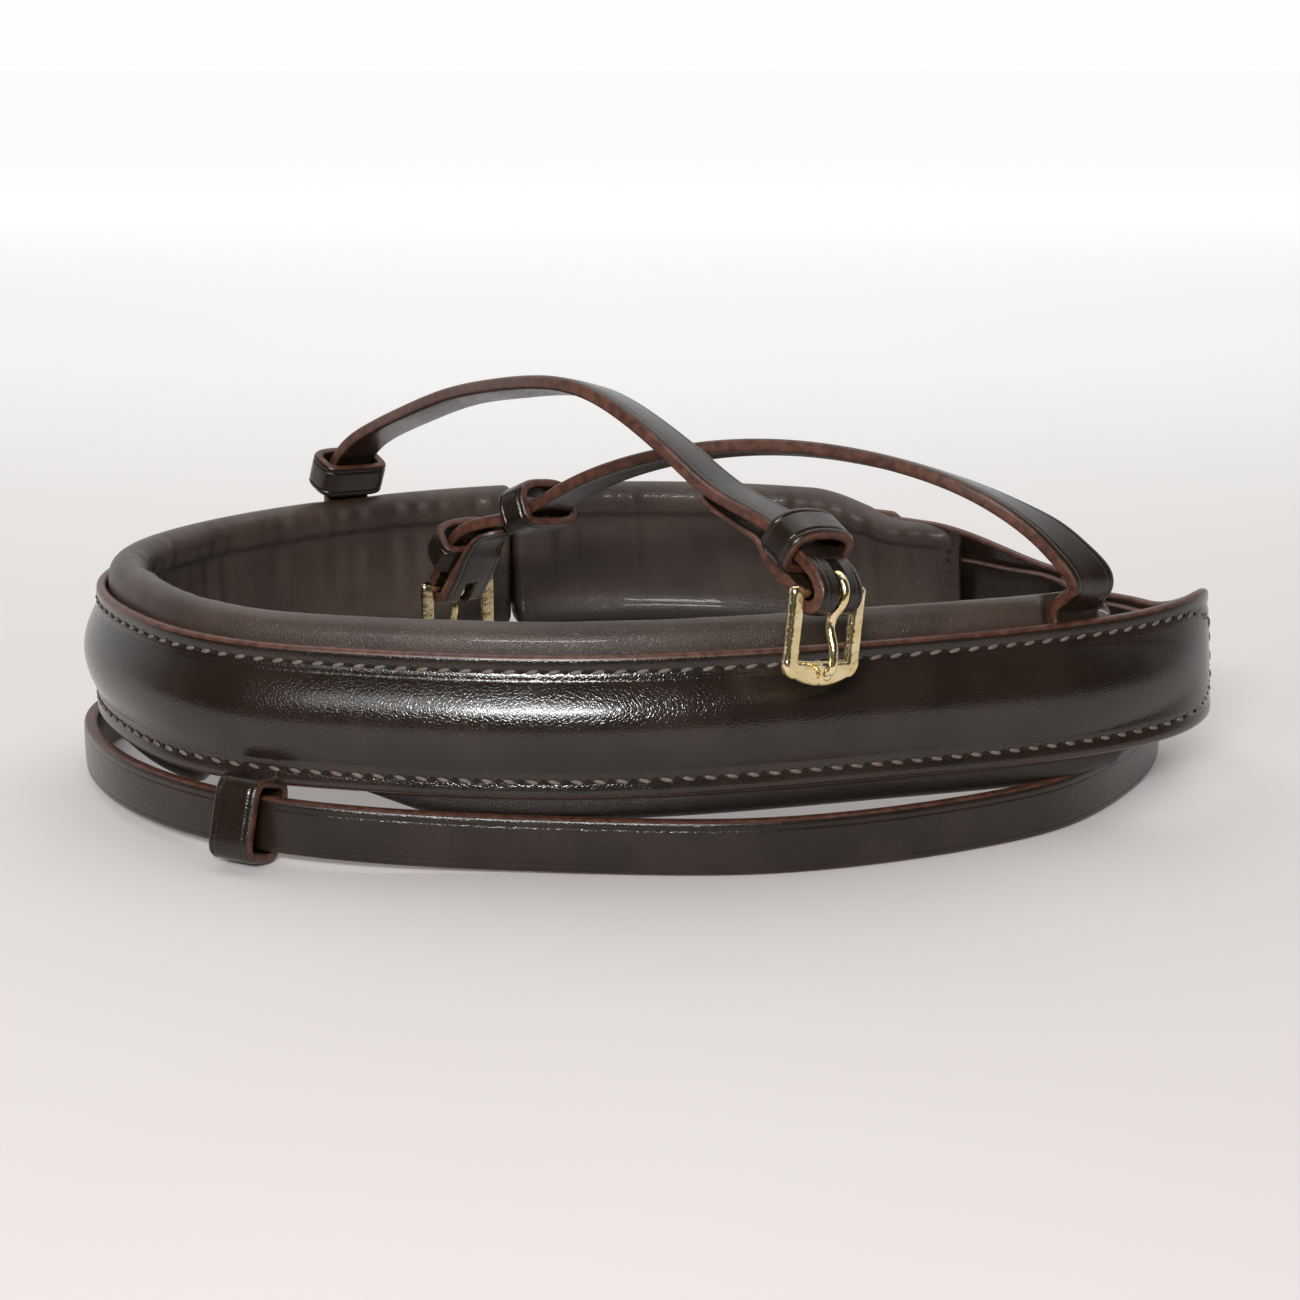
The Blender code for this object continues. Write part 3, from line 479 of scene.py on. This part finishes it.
stitch_s, stitch_u = along_path(holes + pitch / 2)
next_s, next_u = along_path(holes + pitch / 2 + 0.0005)
slope = np.degrees(np.arctan2(next_u - stitch_u, next_s - stitch_s))
for name, side in (("upper_sewing", 1), ("lower_sewing", -1)):
    beads = []
    for spot, lie in zip(on_grain(stitch_s, side * stitch_u), side * (slope + askew)):
        place, tangent, _, grain = [Vector(value) for value in spot]
        along = Matrix.Rotation(math.radians(lie), 3, grain) @ tangent
        beads.append((place, -stitch_up * grain, stitch_side * grain.cross(along),
                      half_stitch * along))
    bead_row(name, thread.material, 5, beads)
# Painted shade: a dark bead at each needle hole.
hole_s, hole_u = along_path(holes)
for name, side in (("upper_hole_shade", 1), ("lower_hole_shade", -1)):
    beads = [(place, -half_hole * tangent, hole_side * across, hole_up * grain)
             for place, tangent, across, grain in on_grain(hole_s, side * hole_u)]
    bead_row(name, hole_shadow.material, 4, beads)

# Felt core: a strip of pressed grey felt that fills the ridge. It keeps the shape it was
# modelled with, because it is sealed between the leather and the padding.
felt = Finish("grey_felt")
felt.set("Base Color", felt.mix(felt.noise(900, 3), (0.16, 0.14, 0.12), (0.26, 0.23, 0.20)))
felt.set("Roughness", 0.95)
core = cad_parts["raised_core"]
core.data.materials.clear()
core.data.materials.append(felt.material)

# Padding: soft lining leather drawn round felt and sewn in behind the outer leather. It
# rolls out above and below it, creases under the upper roll and wrinkles round the inside.
# The cheek straps are sewn in between, so the upper roll makes room for their roots.
lining = Finish("lining_leather")
# Painted shade: the lining is painted darker where it lies less than about 24 mm above the table.
height_for_painted_shade = lining.node('SeparateXYZ', {}, {'Vector': lining.points}, 'Z')
satin = lining.mix(lining.noise(45, 4).step(0.3, 0.7), (0.034, 0.021, 0.014), (0.060, 0.039, 0.027))
lining.set("Base Color", lining.mix(height_for_painted_shade.step(0.014, 0.024), (0.012, 0.008, 0.006), satin))
lining.set("Roughness", lining.noise(300, 3) * 0.18 + 0.33)
lining.set("Coat Weight", 0.08)
lining.bump(lining.grain(1900, 0.2) * 0.5 + lining.noise(2400, 2) * 0.3
            + lining.noise(140, 3) * 1.2, 0.00008)
lap = 0.0003
strap_width, strap_thickness = 0.0132, 0.0034
half_strap = strap_width / 2
off_root, near_root = ring_at(-93, "back"), ring_at(108, "front")
padding_depth, padding_fill, padding_end = 0.0070, 0.85, 0.003
wrinkle_depth = 0.0010
top_radius, top_rise = 0.0052, 0.0016
low_radius, low_drop, low_pressed, low_sag = 0.0045, 0.0001, 0.0014, 0.0018
left_front = ring_at(-93, "front")


def roll(side, radius, offset, turns):
    """Points round a roll, with its radius and offset as tables along the padding."""
    turns = np.radians(np.asarray(turns, dtype=float))[None, :]
    return (side * (half_leather + offset + radius * np.sin(turns)),
            -lap - radius + radius * np.cos(turns))


def padding_outline(low_share, plump, sag):
    """(u, n) round the padding: flat front, upper roll, crowned back, sagging lower roll."""
    one = np.ones_like(low_share)
    parts = [(one * np.linspace(-0.75, 0.9, 6) * half_leather, one * np.full(6, -lap))]
    parts.append(roll(1, top_radius * one, top_rise * one, np.linspace(0, 248, 21)))
    across = np.linspace(0.74, -0.78, 13)
    crown = lap + padding_depth * (0.80 + 0.20 * np.cos(across * math.pi / 2) ** 0.8)
    parts.append((one * across * half_leather, -one * crown))
    drop = (low_drop + sag) * low_share - low_pressed * (1 - low_share)
    parts.append(roll(-1, low_radius * low_share, drop, np.linspace(205, 12, 14)))
    u = np.concatenate([part[0] for part in parts], axis=1)
    n = np.concatenate([part[1] for part in parts], axis=1)
    for _ in range(2):
        u = 0.5 * u + 0.25 * (np.roll(u, 1, axis=1) + np.roll(u, -1, axis=1))
        n = 0.5 * n + 0.25 * (np.roll(n, 1, axis=1) + np.roll(n, -1, axis=1))
    return u * (0.72 + 0.28 * plump), -lap + (np.minimum(n, -lap) + lap) * plump


def wrinkles(s, u):
    """Uneven waves from -1 to 1 along the padding."""
    phases = np.random.default_rng(7).uniform(0, 6.28, 6)
    waves = sum(np.sin(2 * math.pi * s / length + phase + u / 0.02)
                for length, phase in zip((0.0093, 0.0141, 0.0212, 0.033, 0.0067, 0.051), phases))
    return waves / 6


def make_padding(name, node, first, last, rows, thinning):
    """One padding with closed ends, thinning towards its last, and wrinkled inside."""
    s = first + (last - first) * (0.5 - 0.5 * np.cos(np.linspace(0, math.pi, rows)))
    from_end = np.clip(np.minimum(s - first, last - s)[:, None] / padding_end, 0, 1)
    plump = 1 - 0.62 * (1 - np.sqrt(1 - (1 - from_end) ** 2))
    # Along the front the lower roll sags, and at the front left it is tucked in.
    sag = low_sag * stretch(s, (ring_at(116, "front"), ring_at(95, "front")),
                            (ring_at(-62, "front"), left_front - 0.018))
    tucked_in = stretch(s, (left_front - 0.048, left_front - 0.020),
                        (left_front + 0.012, left_front + 0.022))
    u, n = padding_outline(1 - 0.85 * tucked_in[:, None], plump, sag[:, None])
    n = (n + lap) * (1 - 0.65 * smooth_step(s, last - thinning, last)[:, None] ** 2) - lap
    # Past the shoulder it lies over the chin strap's root and narrows with the leather.
    over = (strap_thickness + 4 * lap) * smooth_step(s, shoulder - 0.009, shoulder - 0.001)[:, None]
    n = np.minimum(n, -lap - over) - over * (1 - plump)
    u = u * np.minimum(1.0, (half_width(s)[:, None] + 0.0015) / half_leather)
    fades = smooth_step(s, shoulder - 0.024, shoulder + 0.010)[:, None]
    u = u * np.where(u > 0, 1 - 0.30 * fades, 1.0)
    # The upper roll stands back where the cheek straps come out.
    for root in (off_root, near_root):
        beside = 1 - smooth_step(np.abs(s - root), half_strap, half_strap + 0.006)[:, None]
        over = smooth_step(u, half_leather - 0.004, half_leather) * beside
        n = n - over * np.maximum(0, n + strap_thickness + 5 * lap)
    inside = smooth_step(-n, 0.004, 0.008) * smooth_step(u, -0.013, -0.004)
    n = n - wrinkle_depth * inside * wrinkles(s[:, None], u)
    piece = cover(name, "noseband", node, ring, s, (u, n, np.zeros_like(u)), lining.material)


nose_end, jaw_end = ring_at(118, "front"), ring_at(97, "back")
padding_join = ridge_end + 0.004
make_padding("nose_lining", "nose_padding", nose_end, padding_join, rows=620, thinning=0.001)
make_padding("jaw_lining", "jaw_padding", padding_join + 2 * lap, jaw_end, rows=300,
             thinning=0.030)

# End lining: at the near end the same soft leather is carried on past the padding as a thin
# layer that covers the back of the felt core.
end_thickness, end_edge, end_inset = 0.0010, 0.0004, 0.0040
s = np.linspace(ridge_start - 0.004, nose_end - lap, 120)
u, n, burnish, _ = outline(half_width(s) - end_inset, end_thickness, end_edge,
                           np.linspace(-0.9, 0.9, 9))
end_lining = cover("end_lining", "noseband", None, ring, s,
                   (u, n - end_thickness / 2 - lap, 0 * burnish), lining.material)

# Cheek straps: two 13 mm straps of creased bridle leather, sewn in between outer leather and
# padding. Each arches over the ring, turns round a buckle's bar and comes back under itself,
# skived thin, and a slot in its fold lets the prong through.

# Middle lines of the two arches, from the sewn root to the fold.
off_arch = [
    (-87.8, 157.2, 64), (-85.3, 154.8, 70), (-75, 144, 79.5), (-65.2, 130, 85.7), (-50.7, 108, 94),
    (-36.1, 84, 99.9), (-25.6, 65, 103.5), (-10.4, 42, 103.9), (0.1, 30.5, 98.8), (8.8, 24, 92.4),
    (16.8, 19.5, 86.3),
]
near_arch = [
    (105.4, 39, 58.5), (100.2, 38.8, 67), (91.0, 40, 74.3), (81.5, 43, 79.4), (61, 55, 85.2),
    (28, 75, 86.4), (0, 88, 80.5), (-20.5, 101, 70), (-33, 111.5, 61.3),
]
behind = -2.5 * lap - strap_thickness / 2
strap_edge, strap_dome = 0.0011, 0.00022
crease_in, crease_depth, crease_width = 0.0021, 0.00020, 0.00022
keeper_distance, loop_band = 0.0108, 0.0095
keeper_reach = keeper_distance + loop_band * 0.6
bar_radius, bar_room = 0.0012, 0.0004
slot_width, slot_length = 0.0036, 0.0135
sewn_depth = 0.0120
strap_leather = leather_finish("strap_leather", dark=(0.012, 0.0075, 0.0045),
                               light=(0.024, 0.016, 0.0105), roughness=0.24, gloss=0.43)
strap_tops = mirrored([-0.97, -0.90, -0.84, -0.79, -0.75, -0.71, -0.66, -0.58, -0.45, -0.30, -0.15])


def strap_columns(half, thickness):
    """Section of a strap with its crease lines and its dome."""
    u, n, burnish, grain_side = outline(half, thickness, strap_edge, strap_tops)
    crease = crease_depth * np.exp(-((half_strap - crease_in - np.abs(u)) / crease_width) ** 2)
    dome = strap_dome * np.cos(np.clip(u / half_strap, -1, 1) * math.pi / 2)
    return u, n + grain_side * (dome - crease), burnish


def heading_vector(degrees):
    """Level direction, counted from the right towards the back."""
    return np.array([math.cos(math.radians(degrees)), math.sin(math.radians(degrees)), 0.0])


def tipped(heading, roll):
    """Width direction of a strap with this heading, its far edge raised by the roll."""
    level = heading_vector(heading + 90) * math.cos(math.radians(roll))
    return level + upright * math.sin(math.radians(roll))


class Fold:
    """Where a strap turns round a buckle's bar: it comes in at a heading, diving below level."""

    def __init__(self, bar, heading, dive, bar_axis, droop=0.0):
        level = heading_vector(heading) * math.cos(math.radians(dive))
        forward = level - upright * math.sin(math.radians(dive))
        self.bar = drawn(*bar)
        self.axis = unit(bar_axis)
        self.forward = unit(forward - forward.dot(self.axis) * self.axis)
        self.grain = np.cross(self.forward, self.axis)
        self.radius = bar_radius + bar_room + strap_thickness / 2
        self.droop = droop

    def approach(self):
        """The strap's last stretch: straight in the keeper, drooping to the bar."""
        step = keeper_reach / 8
        place = self.bar + self.grain * self.radius
        places = [place]
        for i in range(8):
            share = min(1.0, (i + 0.5) * step / (keeper_distance - loop_band * 0.5))
            angle = math.radians(self.droop) * share
            place = place - step * (self.forward * math.cos(angle) + self.grain * math.sin(angle))
            places.append(place)
        return places[::-1]


def folded_route(run, widths, fold, back_length):
    """Routes of a strap up to the bar, and of the whole strap with its turned-back end."""
    last = fold.approach()
    run = list(run) + last
    widths = list(widths) + [fold.axis] * len(last)
    table = spline([(*place, *width) for place, width in zip(run, widths)])
    arrive = Route(table[:, :3], table[:, 3:])
    rows, across = list(table[:, :3]), list(table[:, 3:])
    for i in range(1, 18):
        angle = math.pi * (0.5 - i / 18)
        rows.append(fold.bar + fold.radius * (math.sin(angle) * fold.grain
                                              + math.cos(angle) * fold.forward))
        across.append(fold.axis)
    apart, close = 2 * fold.radius, strap_thickness + 2 * lap
    back = np.linspace(0, back_length, 40)
    gap = apart + (close - apart) * smooth_step(back, keeper_reach, keeper_reach + 0.009)
    gap -= smooth_step(back, back_length * 0.6, back_length) * 0.0011
    place, _, width, grain = arrive.frames(arrive.total - back)
    rows += list(place - grain * gap[:, None])
    across += list(width)
    return arrive, Route(np.array(rows), np.array(across))


def punch(piece, name, bm):
    """Cut a shape out of a piece and take the shape away again."""
    mesh = bpy.data.meshes.new(name)
    bm.to_mesh(mesh)
    bm.free()
    cutter = bpy.data.objects.new(name, mesh)
    bpy.context.scene.collection.objects.link(cutter)
    cut = piece.modifiers.new(name, 'BOOLEAN')
    cut.object = cutter
    cut.solver = 'EXACT'
    graph = bpy.context.evaluated_depsgraph_get()
    piece.data = bpy.data.meshes.new_from_object(piece.evaluated_get(graph))
    piece.modifiers.remove(cut)
    bpy.data.objects.remove(cutter)


def folded_strap(name, node, run, widths, fold, back_length, rows):
    """Strap with its end turned round a bar, skived thin and shaped to a soft point."""
    arrive, route = folded_route(run, widths, fold, back_length)
    turned = arrive.total + math.pi * fold.radius
    s = np.concatenate([np.linspace(0, arrive.total - 0.004, rows),
                        np.linspace(arrive.total - 0.0035, turned + 0.0035, 46),
                        np.linspace(turned + 0.004, route.total, 90)])
    thinned = smooth_step(s, route.total - back_length * 0.75, route.total - back_length * 0.25)
    to_tip = np.clip(1 - (route.total - s) / 0.006, 0, 1)
    half = half_strap * np.sqrt(1 - 0.75 * to_tip ** 2)
    thickness = strap_thickness * (1 - 0.60 * thinned)
    piece = cover(name, "noseband", node, route, s, strap_columns(half, thickness), strap_leather)
    bm = bmesh.new()
    where = placing(fold.bar, fold.axis * slot_width, -fold.forward * slot_length,
                    fold.grain * 4 * fold.radius)
    bmesh.ops.create_cube(bm, size=1.0, matrix=where)
    punch(piece, name + "_slot", bm)
    return arrive


def cheek_strap(side, root, exit_rise, arch, middle, fold, back_length):
    """A cheek strap on its route, from its sewn root over its arch to the fold."""
    run = [ring.points(root, half_leather + rise, behind)[0]
           for rise in (-sewn_depth, -sewn_depth * 0.4, exit_rise)]
    forward = ring.frames(root)[1][0]
    widths = [forward] * len(run)
    for i in range(len(arch)):
        share = (i + 1) / (len(arch) + 1)
        ends = forward * max(0.0, 1 - 2 * share) + fold.axis * max(0.0, 2 * share - 1)
        widths.append(unit(ends + middle * (1 - abs(2 * share - 1))))
    run += [drawn(*place) for place in arch]
    return folded_strap(side + "_strap", side + "_cheek_strap", run, widths, fold, back_length, 330)


off_fold = Fold((39.4, -2, 67.2), heading=-49, dive=58, bar_axis=tipped(-49, -9.5), droop=30)
off_arrive = cheek_strap("off", off_root, 0.0040, off_arch, middle=tipped(-25, -15),
                         fold=off_fold, back_length=0.0420)
near_fold = Fold((-54, 128, 38.5), heading=125, dive=50, bar_axis=tipped(125, 0))
near_arrive = cheek_strap("near", near_root, 0.0030, near_arch, middle=tipped(147, 15),
                          fold=near_fold, back_length=0.0310)

# Chin strap: long and pointed, sewn in at the jaw end, with six punched holes towards its
# point. It drops from the jaw end and lies on its edge on the table, round under the ring.

# Foot of its outer face, from the jaw end round to the point.
chin_outline = [
    (128.5, 115.5, 17.5), (135.7, 101.5, 6.8), (135, 85, 2.2), (130, 72.5, 0.5), (122, 58.5, 0),
    (111, 42.5, 0), (99, 30, 0), (83, 19.6, 0), (58.5, 8.4, 0), (23, -0.6, 0), (-11.5, -0.8, 0.3),
    (-46, -0.2, 1.4), (-70, 1, 2.7), (-93, 7.4, 3.4), (-115, 22, 3.4), (-129.5, 38, 3),
    (-141, 58, 2.2), (-149.6, 90, 0.8), (-144, 119, 0), (-128, 143, 0), (-104, 162, 0),
    (-74, 176, 0), (-44, 184, 0), (-16, 187.5, 0), (12, 187.5, 0), (40, 181.5, 0), (64, 170.5, 0),
]
hole_radius, hole_pitch, first_hole = 0.0017, 0.019, 0.030
run = [ring.points(ring_at(76 + 40 * share, "back"), 0.0, behind)[0]
       for share in (0.0, 0.2, 0.4, 0.6, 0.8, 1.0)]
laid = spline([drawn(*place) for place in chin_outline])
forward = unit(np.gradient(laid, axis=0))
outward = unit(np.cross(upright, forward))
laid = laid + upright * half_strap - outward * strap_thickness / 2
rows = spline(run + list(laid[::24]))
rows[:, 2] = np.maximum(rows[:, 2], half_strap)
chin_route = Route(rows, np.tile(-upright, (len(rows), 1)))
s = np.linspace(0, chin_route.total, 1100)
to_tip = np.clip(1 - (chin_route.total - s) / 0.014, 0, 1)
chin_long = cover("chin_long_strap", "noseband", "chin_strap", chin_route, s,
                  strap_columns(half_strap * (1 - 0.8 * to_tip ** 2),
                                np.full(len(s), strap_thickness)), strap_leather)
bm = bmesh.new()
for i in range(6):
    spot = chin_route.frames(chin_route.total - first_hole - i * hole_pitch)
    bmesh.ops.create_cone(bm, cap_ends=True, segments=20, radius1=hole_radius, radius2=hole_radius,
                          depth=3 * strap_thickness, matrix=placing(*[value[0] for value in spot]))
punch(chin_long, "chin_strap_holes", bm)

# Chin buckle strap: the short strap sewn in at the near tail. It runs on inside the ring and
# folds round the bar of the buckle that takes the chin strap.
run = [ring.points((1 - share) * ridge_start * 0.62, 0.0, behind)[0]
       for share in (0.0, 0.2, 0.4, 0.6, 0.8, 0.97)]
run += [drawn(*place) for place in [(108, 115.3, 31.3), (101.5, 113.6, 29.5)]]
chin_fold = Fold((83, 98, 28), heading=213, dive=0, bar_axis=upright)
chin_arrive = folded_strap("chin_short_strap", "chin_buckle_strap", run, [upright] * len(run),
                           chin_fold, back_length=0.0320, rows=170)

# Keepers and runners: a narrow strip of the same leather, creased along both edges and closed
# into a loop round the strap. A keeper is sewn in between the folded layers, close behind the
# buckle; a runner is free to slide.
loop_thickness, loop_edge, loop_dome = 0.0025, 0.0009, 0.00014
loop_crease_in, loop_crease_depth, loop_crease_width = 0.0017, 0.00034, 0.00024
keeper_room, runner_room = 0.0015, 0.0024
loop_tops = mirrored([-0.96, -0.86, -0.79, -0.74, -0.70, -0.66, -0.60, -0.45, -0.25])


def leather_loop(name, body, node, route, at, room_wide, room_deep, lift, arch, lean=0.0,
                 band=loop_band):
    """Closed band; its middle line arches over the grain side and is squarer at the back."""
    wide, deep = strap_width + room_wide + loop_thickness, room_deep + loop_thickness
    place, tangent, across, grain = [value[0] for value in route.frames(at)]
    turn = Matrix.Rotation(math.radians(lean), 3, Vector(tangent))
    across, grain = np.array(turn @ Vector(across)), np.array(turn @ Vector(grain))
    centre = place + grain * lift
    rows = []
    for degrees in np.linspace(-90, 270, 145):
        x, y = math.cos(math.radians(degrees)), math.sin(math.radians(degrees))
        square = 2 / (arch if y > 0 else 5.0)
        x, y = [math.copysign(abs(value) ** square, value) for value in (x, y)]
        rows.append(centre + across * x * wide / 2 + grain * y * deep / 2)
    rows[-1] = rows[0]
    loop = Route(np.array(rows), np.tile(tangent, (len(rows), 1)))
    u, n, burnish, grain_side = outline(band / 2, loop_thickness, loop_edge, loop_tops)
    from_crease = (band / 2 - loop_crease_in - np.abs(u)) / loop_crease_width
    crease = loop_crease_depth * np.exp(-from_crease ** 2)
    section = (u, n + grain_side * (loop_dome - crease), burnish)
    return cover(name, body, node, loop, np.linspace(0, loop.total, 150), section, strap_leather,
                 closed=True)


keeper_deep = strap_thickness + 0.0036
keeper_lift = keeper_deep / 2 - strap_thickness / 2 - 2.5 * lap
for side, arrive, slipped in (("off_cheek", off_arrive, 0.0030), ("chin", chin_arrive, 0.0015),
                              ("near_cheek", near_arrive, 0.0015)):
    leather_loop(side + "_keeper_band", "noseband", side + "_keeper", arrive,
                 arrive.total - keeper_distance - slipped, keeper_room, keeper_deep,
                 lift=keeper_lift, arch=2.6)
runner_deep = 2 * strap_thickness + 0.0014
leather_loop("off_runner_band", "off_cheek_runner", "off_cheek_runner", off_arrive, 0.0258,
             runner_room, runner_deep, lift=0.0005, arch=3.0)
leather_loop("near_runner_band", "near_cheek_runner", "near_cheek_runner", near_arrive,
             near_arrive.total - 0.0415, runner_room, runner_deep, lift=0.0014, arch=3.0)
at_front = chin_route.rows[:, 1] < 0
away = np.abs(chin_route.rows[:, 0] - drawn(-93, 0, 0)[0])
runner_s = chin_route.length_at[int(np.argmin(np.where(at_front, away, 1.0)))]
chin_runner = leather_loop("chin_runner_band", "chin_runner", "chin_runner", chin_route, runner_s,
                           0.0018, runner_deep + 0.0012, lift=0.0002, arch=5.5, lean=18,
                           band=0.0113)
lowest = min(vertex.co.z for vertex in chin_runner.data.vertices)
for vertex in chin_runner.data.vertices:
    vertex.co.z -= lowest

# Buckles: small cast brass frames, gilt and polished. The legs are rounded, and the front bar
# is deeper and bows out a little in the middle, where the bent wire of the prong lies in a
# groove. Frame and prong both turn about the bar in the strap's fold.
brass = Finish("gilt_brass")
brass.set("Base Color", brass.mix(brass.noise(220, 3).step(0.3, 0.7), (0.84, 0.67, 0.33),
                                  (0.98, 0.85, 0.54)))
brass.set("Metallic", 1.0)
brass.set("Roughness", brass.noise(500, 3) * 0.16 + 0.08)
brass.bump(brass.noise(900, 3) + brass.noise(260, 2) * 2, 0.00011)
frame_thickness, frame_corner, half_leg = 0.0024, 0.00098, 0.0019
leg = half_strap + lap + 0.0028
front_edge, front_bow, sill, sill_bow = -0.0209, 0.0017, -0.0150, 0.0003
groove_depth, half_groove = 0.0006, 0.0012
wire_radius, half_seat, prong_tip = 0.0011, 0.0006, -0.0194


def cast_frame(side, fold, x_axis, y_axis):
    """Frame, from one end of its bar round the legs and the front bar to the other, and the bar."""
    inside = leg - half_leg
    line = [(leg, 0.0017, half_leg), (leg, 0.0013, half_leg)]
    line += [(leg, y, half_leg) for y in np.linspace(0.0005, sill, 16)]
    for degrees in np.linspace(8, 82, 10):
        angle = math.radians(degrees)
        mitre = min(1.07, 1 / max(math.cos(angle), math.sin(angle)))
        reach = (half_leg + 0.0002 * degrees / 90) * mitre
        line.append((inside + reach * math.cos(angle), sill - reach * math.sin(angle), reach))
    for x in np.linspace(inside, 0, 30):
        share = x / inside
        outer, inner = front_edge + front_bow * share ** 2, sill - sill_bow * (1 - share ** 2)
        line.append((x, (outer + inner) / 2, (inner - outer) / 2))
    line += [(-x, y, half) for x, y, half in reversed(line[:-1])]
    line = np.array(line)
    half, line = line[:, 2], line[:, :2]
    forward = unit(np.gradient(line, axis=0))
    casting = Route(fold.bar + line[:, :1] * x_axis + line[:, 1:] * y_axis,
                    forward[:, :1] * y_axis - forward[:, 1:] * x_axis)
    on_front = smooth_step(-line[:, 1], 0.0145, 0.0165)
    ends = np.ones(len(line))
    ends[[0, -1]] = 0.35
    ends[[1, -2]] = 0.8
    groove = groove_depth * np.exp(-(line[:, 0] / half_groove) ** 2) * on_front
    section = outline(half * ends, frame_thickness * ends - groove, frame_corner)[:3]
    piece = cover(side + "_cast_frame", side + "_frame", side + "_buckle_frame", casting,
                  casting.length_at, section, brass.material)
    bm = bmesh.new()
    bm.from_mesh(piece.data)
    along_bar = placing(fold.bar, fold.grain, np.cross(fold.axis, fold.grain), fold.axis)
    bmesh.ops.create_cone(bm, cap_ends=True, segments=20, radius1=bar_radius, radius2=bar_radius,
                          depth=2 * leg, matrix=along_bar)
    bm.to_mesh(piece.data)
    bm.free()


def wire_prong(side, fold, x_axis, y_axis, z_axis):
    """Wire bent round the bar, up in an S and down into the groove of the front bar."""
    eye = bar_radius + lap + wire_radius
    rest = bar_radius + math.sqrt(wire_radius ** 2 - half_seat ** 2) + lap
    bend = [(eye * math.cos(math.radians(degrees)), eye * math.sin(math.radians(degrees)))
            for degrees in np.linspace(-165, -20, 16)]
    arch = [(0.0041, 0.0004), (0.0040, 0.0030), (0.0014, 0.0050), (-0.0018, 0.0047),
            (-0.0048, 0.0024), (-0.0078, 0.0018), (-0.0110, 0.0031), (-0.0142, 0.0037),
            (-0.0170, 0.0033), (prong_tip * 0.90, rest + 0.0001), (prong_tip, rest)]
    shank = spline([(y, z, 0) for y, z in bend[-2:] + arch], steps=8)
    line = np.array(bend + [(y, z) for y, z, _ in shank[9:]])
    wire = Route(fold.bar + line[:, :1] * y_axis + line[:, 1:] * z_axis,
                 np.tile(x_axis, (len(line), 1)))
    length = lengths(line)
    from_end = np.clip(np.minimum(length, length[-1] - length) / wire_radius, 0, 1)
    ends = np.sqrt(np.clip(1 - (1 - from_end) ** 2, 0.02, 1))
    taper = 1 - 0.18 * smooth_step(length, length[-1] - 0.008, length[-1])
    radius = (wire_radius * ends * taper)[:, None]
    turns = np.linspace(0, math.tau, 20, endpoint=False)
    section = (radius * np.cos(turns), radius * np.sin(turns), 0 * radius)
    cover(side + "_wire_prong", side + "_prong", side + "_buckle_prong", wire, wire.length_at,
          section, brass.material)


for side, fold, hang in (("off", off_fold, 0.09 * off_fold.forward - upright),
                         ("near", near_fold, -upright), ("chin", chin_fold, chin_fold.forward)):
    back_axis = -unit(hang - hang.dot(fold.axis) * fold.axis)
    cast_frame(side, fold, fold.axis, back_axis)
    wire_prong(side, fold, fold.axis, back_axis, np.cross(fold.axis, back_axis))

# Floor: plain pale cloth, a little warm near the noseband. Towards the back its colour is painted
# paler and it glows, painted light that runs on into the white of the room.
cloth = Finish("pale_floor")
to_back = cloth.node('SeparateXYZ', {}, {'Vector': cloth.points}, 'Y')
painted_light_to_back, far = to_back.step(-0.3, 0.9), to_back.step(0.3, 2.2)
warm = cloth.mix(cloth.noise(6, 3), (0.70, 0.655, 0.645), (0.74, 0.70, 0.69))
cloth.set("Base Color", cloth.mix(painted_light_to_back, warm, (0.93, 0.925, 0.915)))
# Painted light: the floor glows, faintly near the noseband and more strongly far back.
glow = cloth.mix(painted_light_to_back, (0.0, 0.0, 0.0), (0.25, 0.25, 0.245))
cloth.set("Emission Color", cloth.mix(far, glow, (0.68, 0.68, 0.67)))
cloth.set("Emission Strength", 1.0)
cloth.set("Roughness", 0.9)
floor_size, floor_front, under = 8, -0.36, 0.0001
bm = bmesh.new()
bmesh.ops.create_grid(bm, x_segments=1, y_segments=1, size=floor_size)
bmesh.ops.translate(bm, vec=(0, floor_size + floor_front, -under), verts=bm.verts)
mesh = bpy.data.meshes.new("floor")
bm.to_mesh(mesh)
bm.free()
mesh.materials.append(cloth.material)
floor = bpy.data.objects.new("floor", mesh)
bpy.context.scene.collection.objects.link(floor)

bpy.context.view_layer.update()
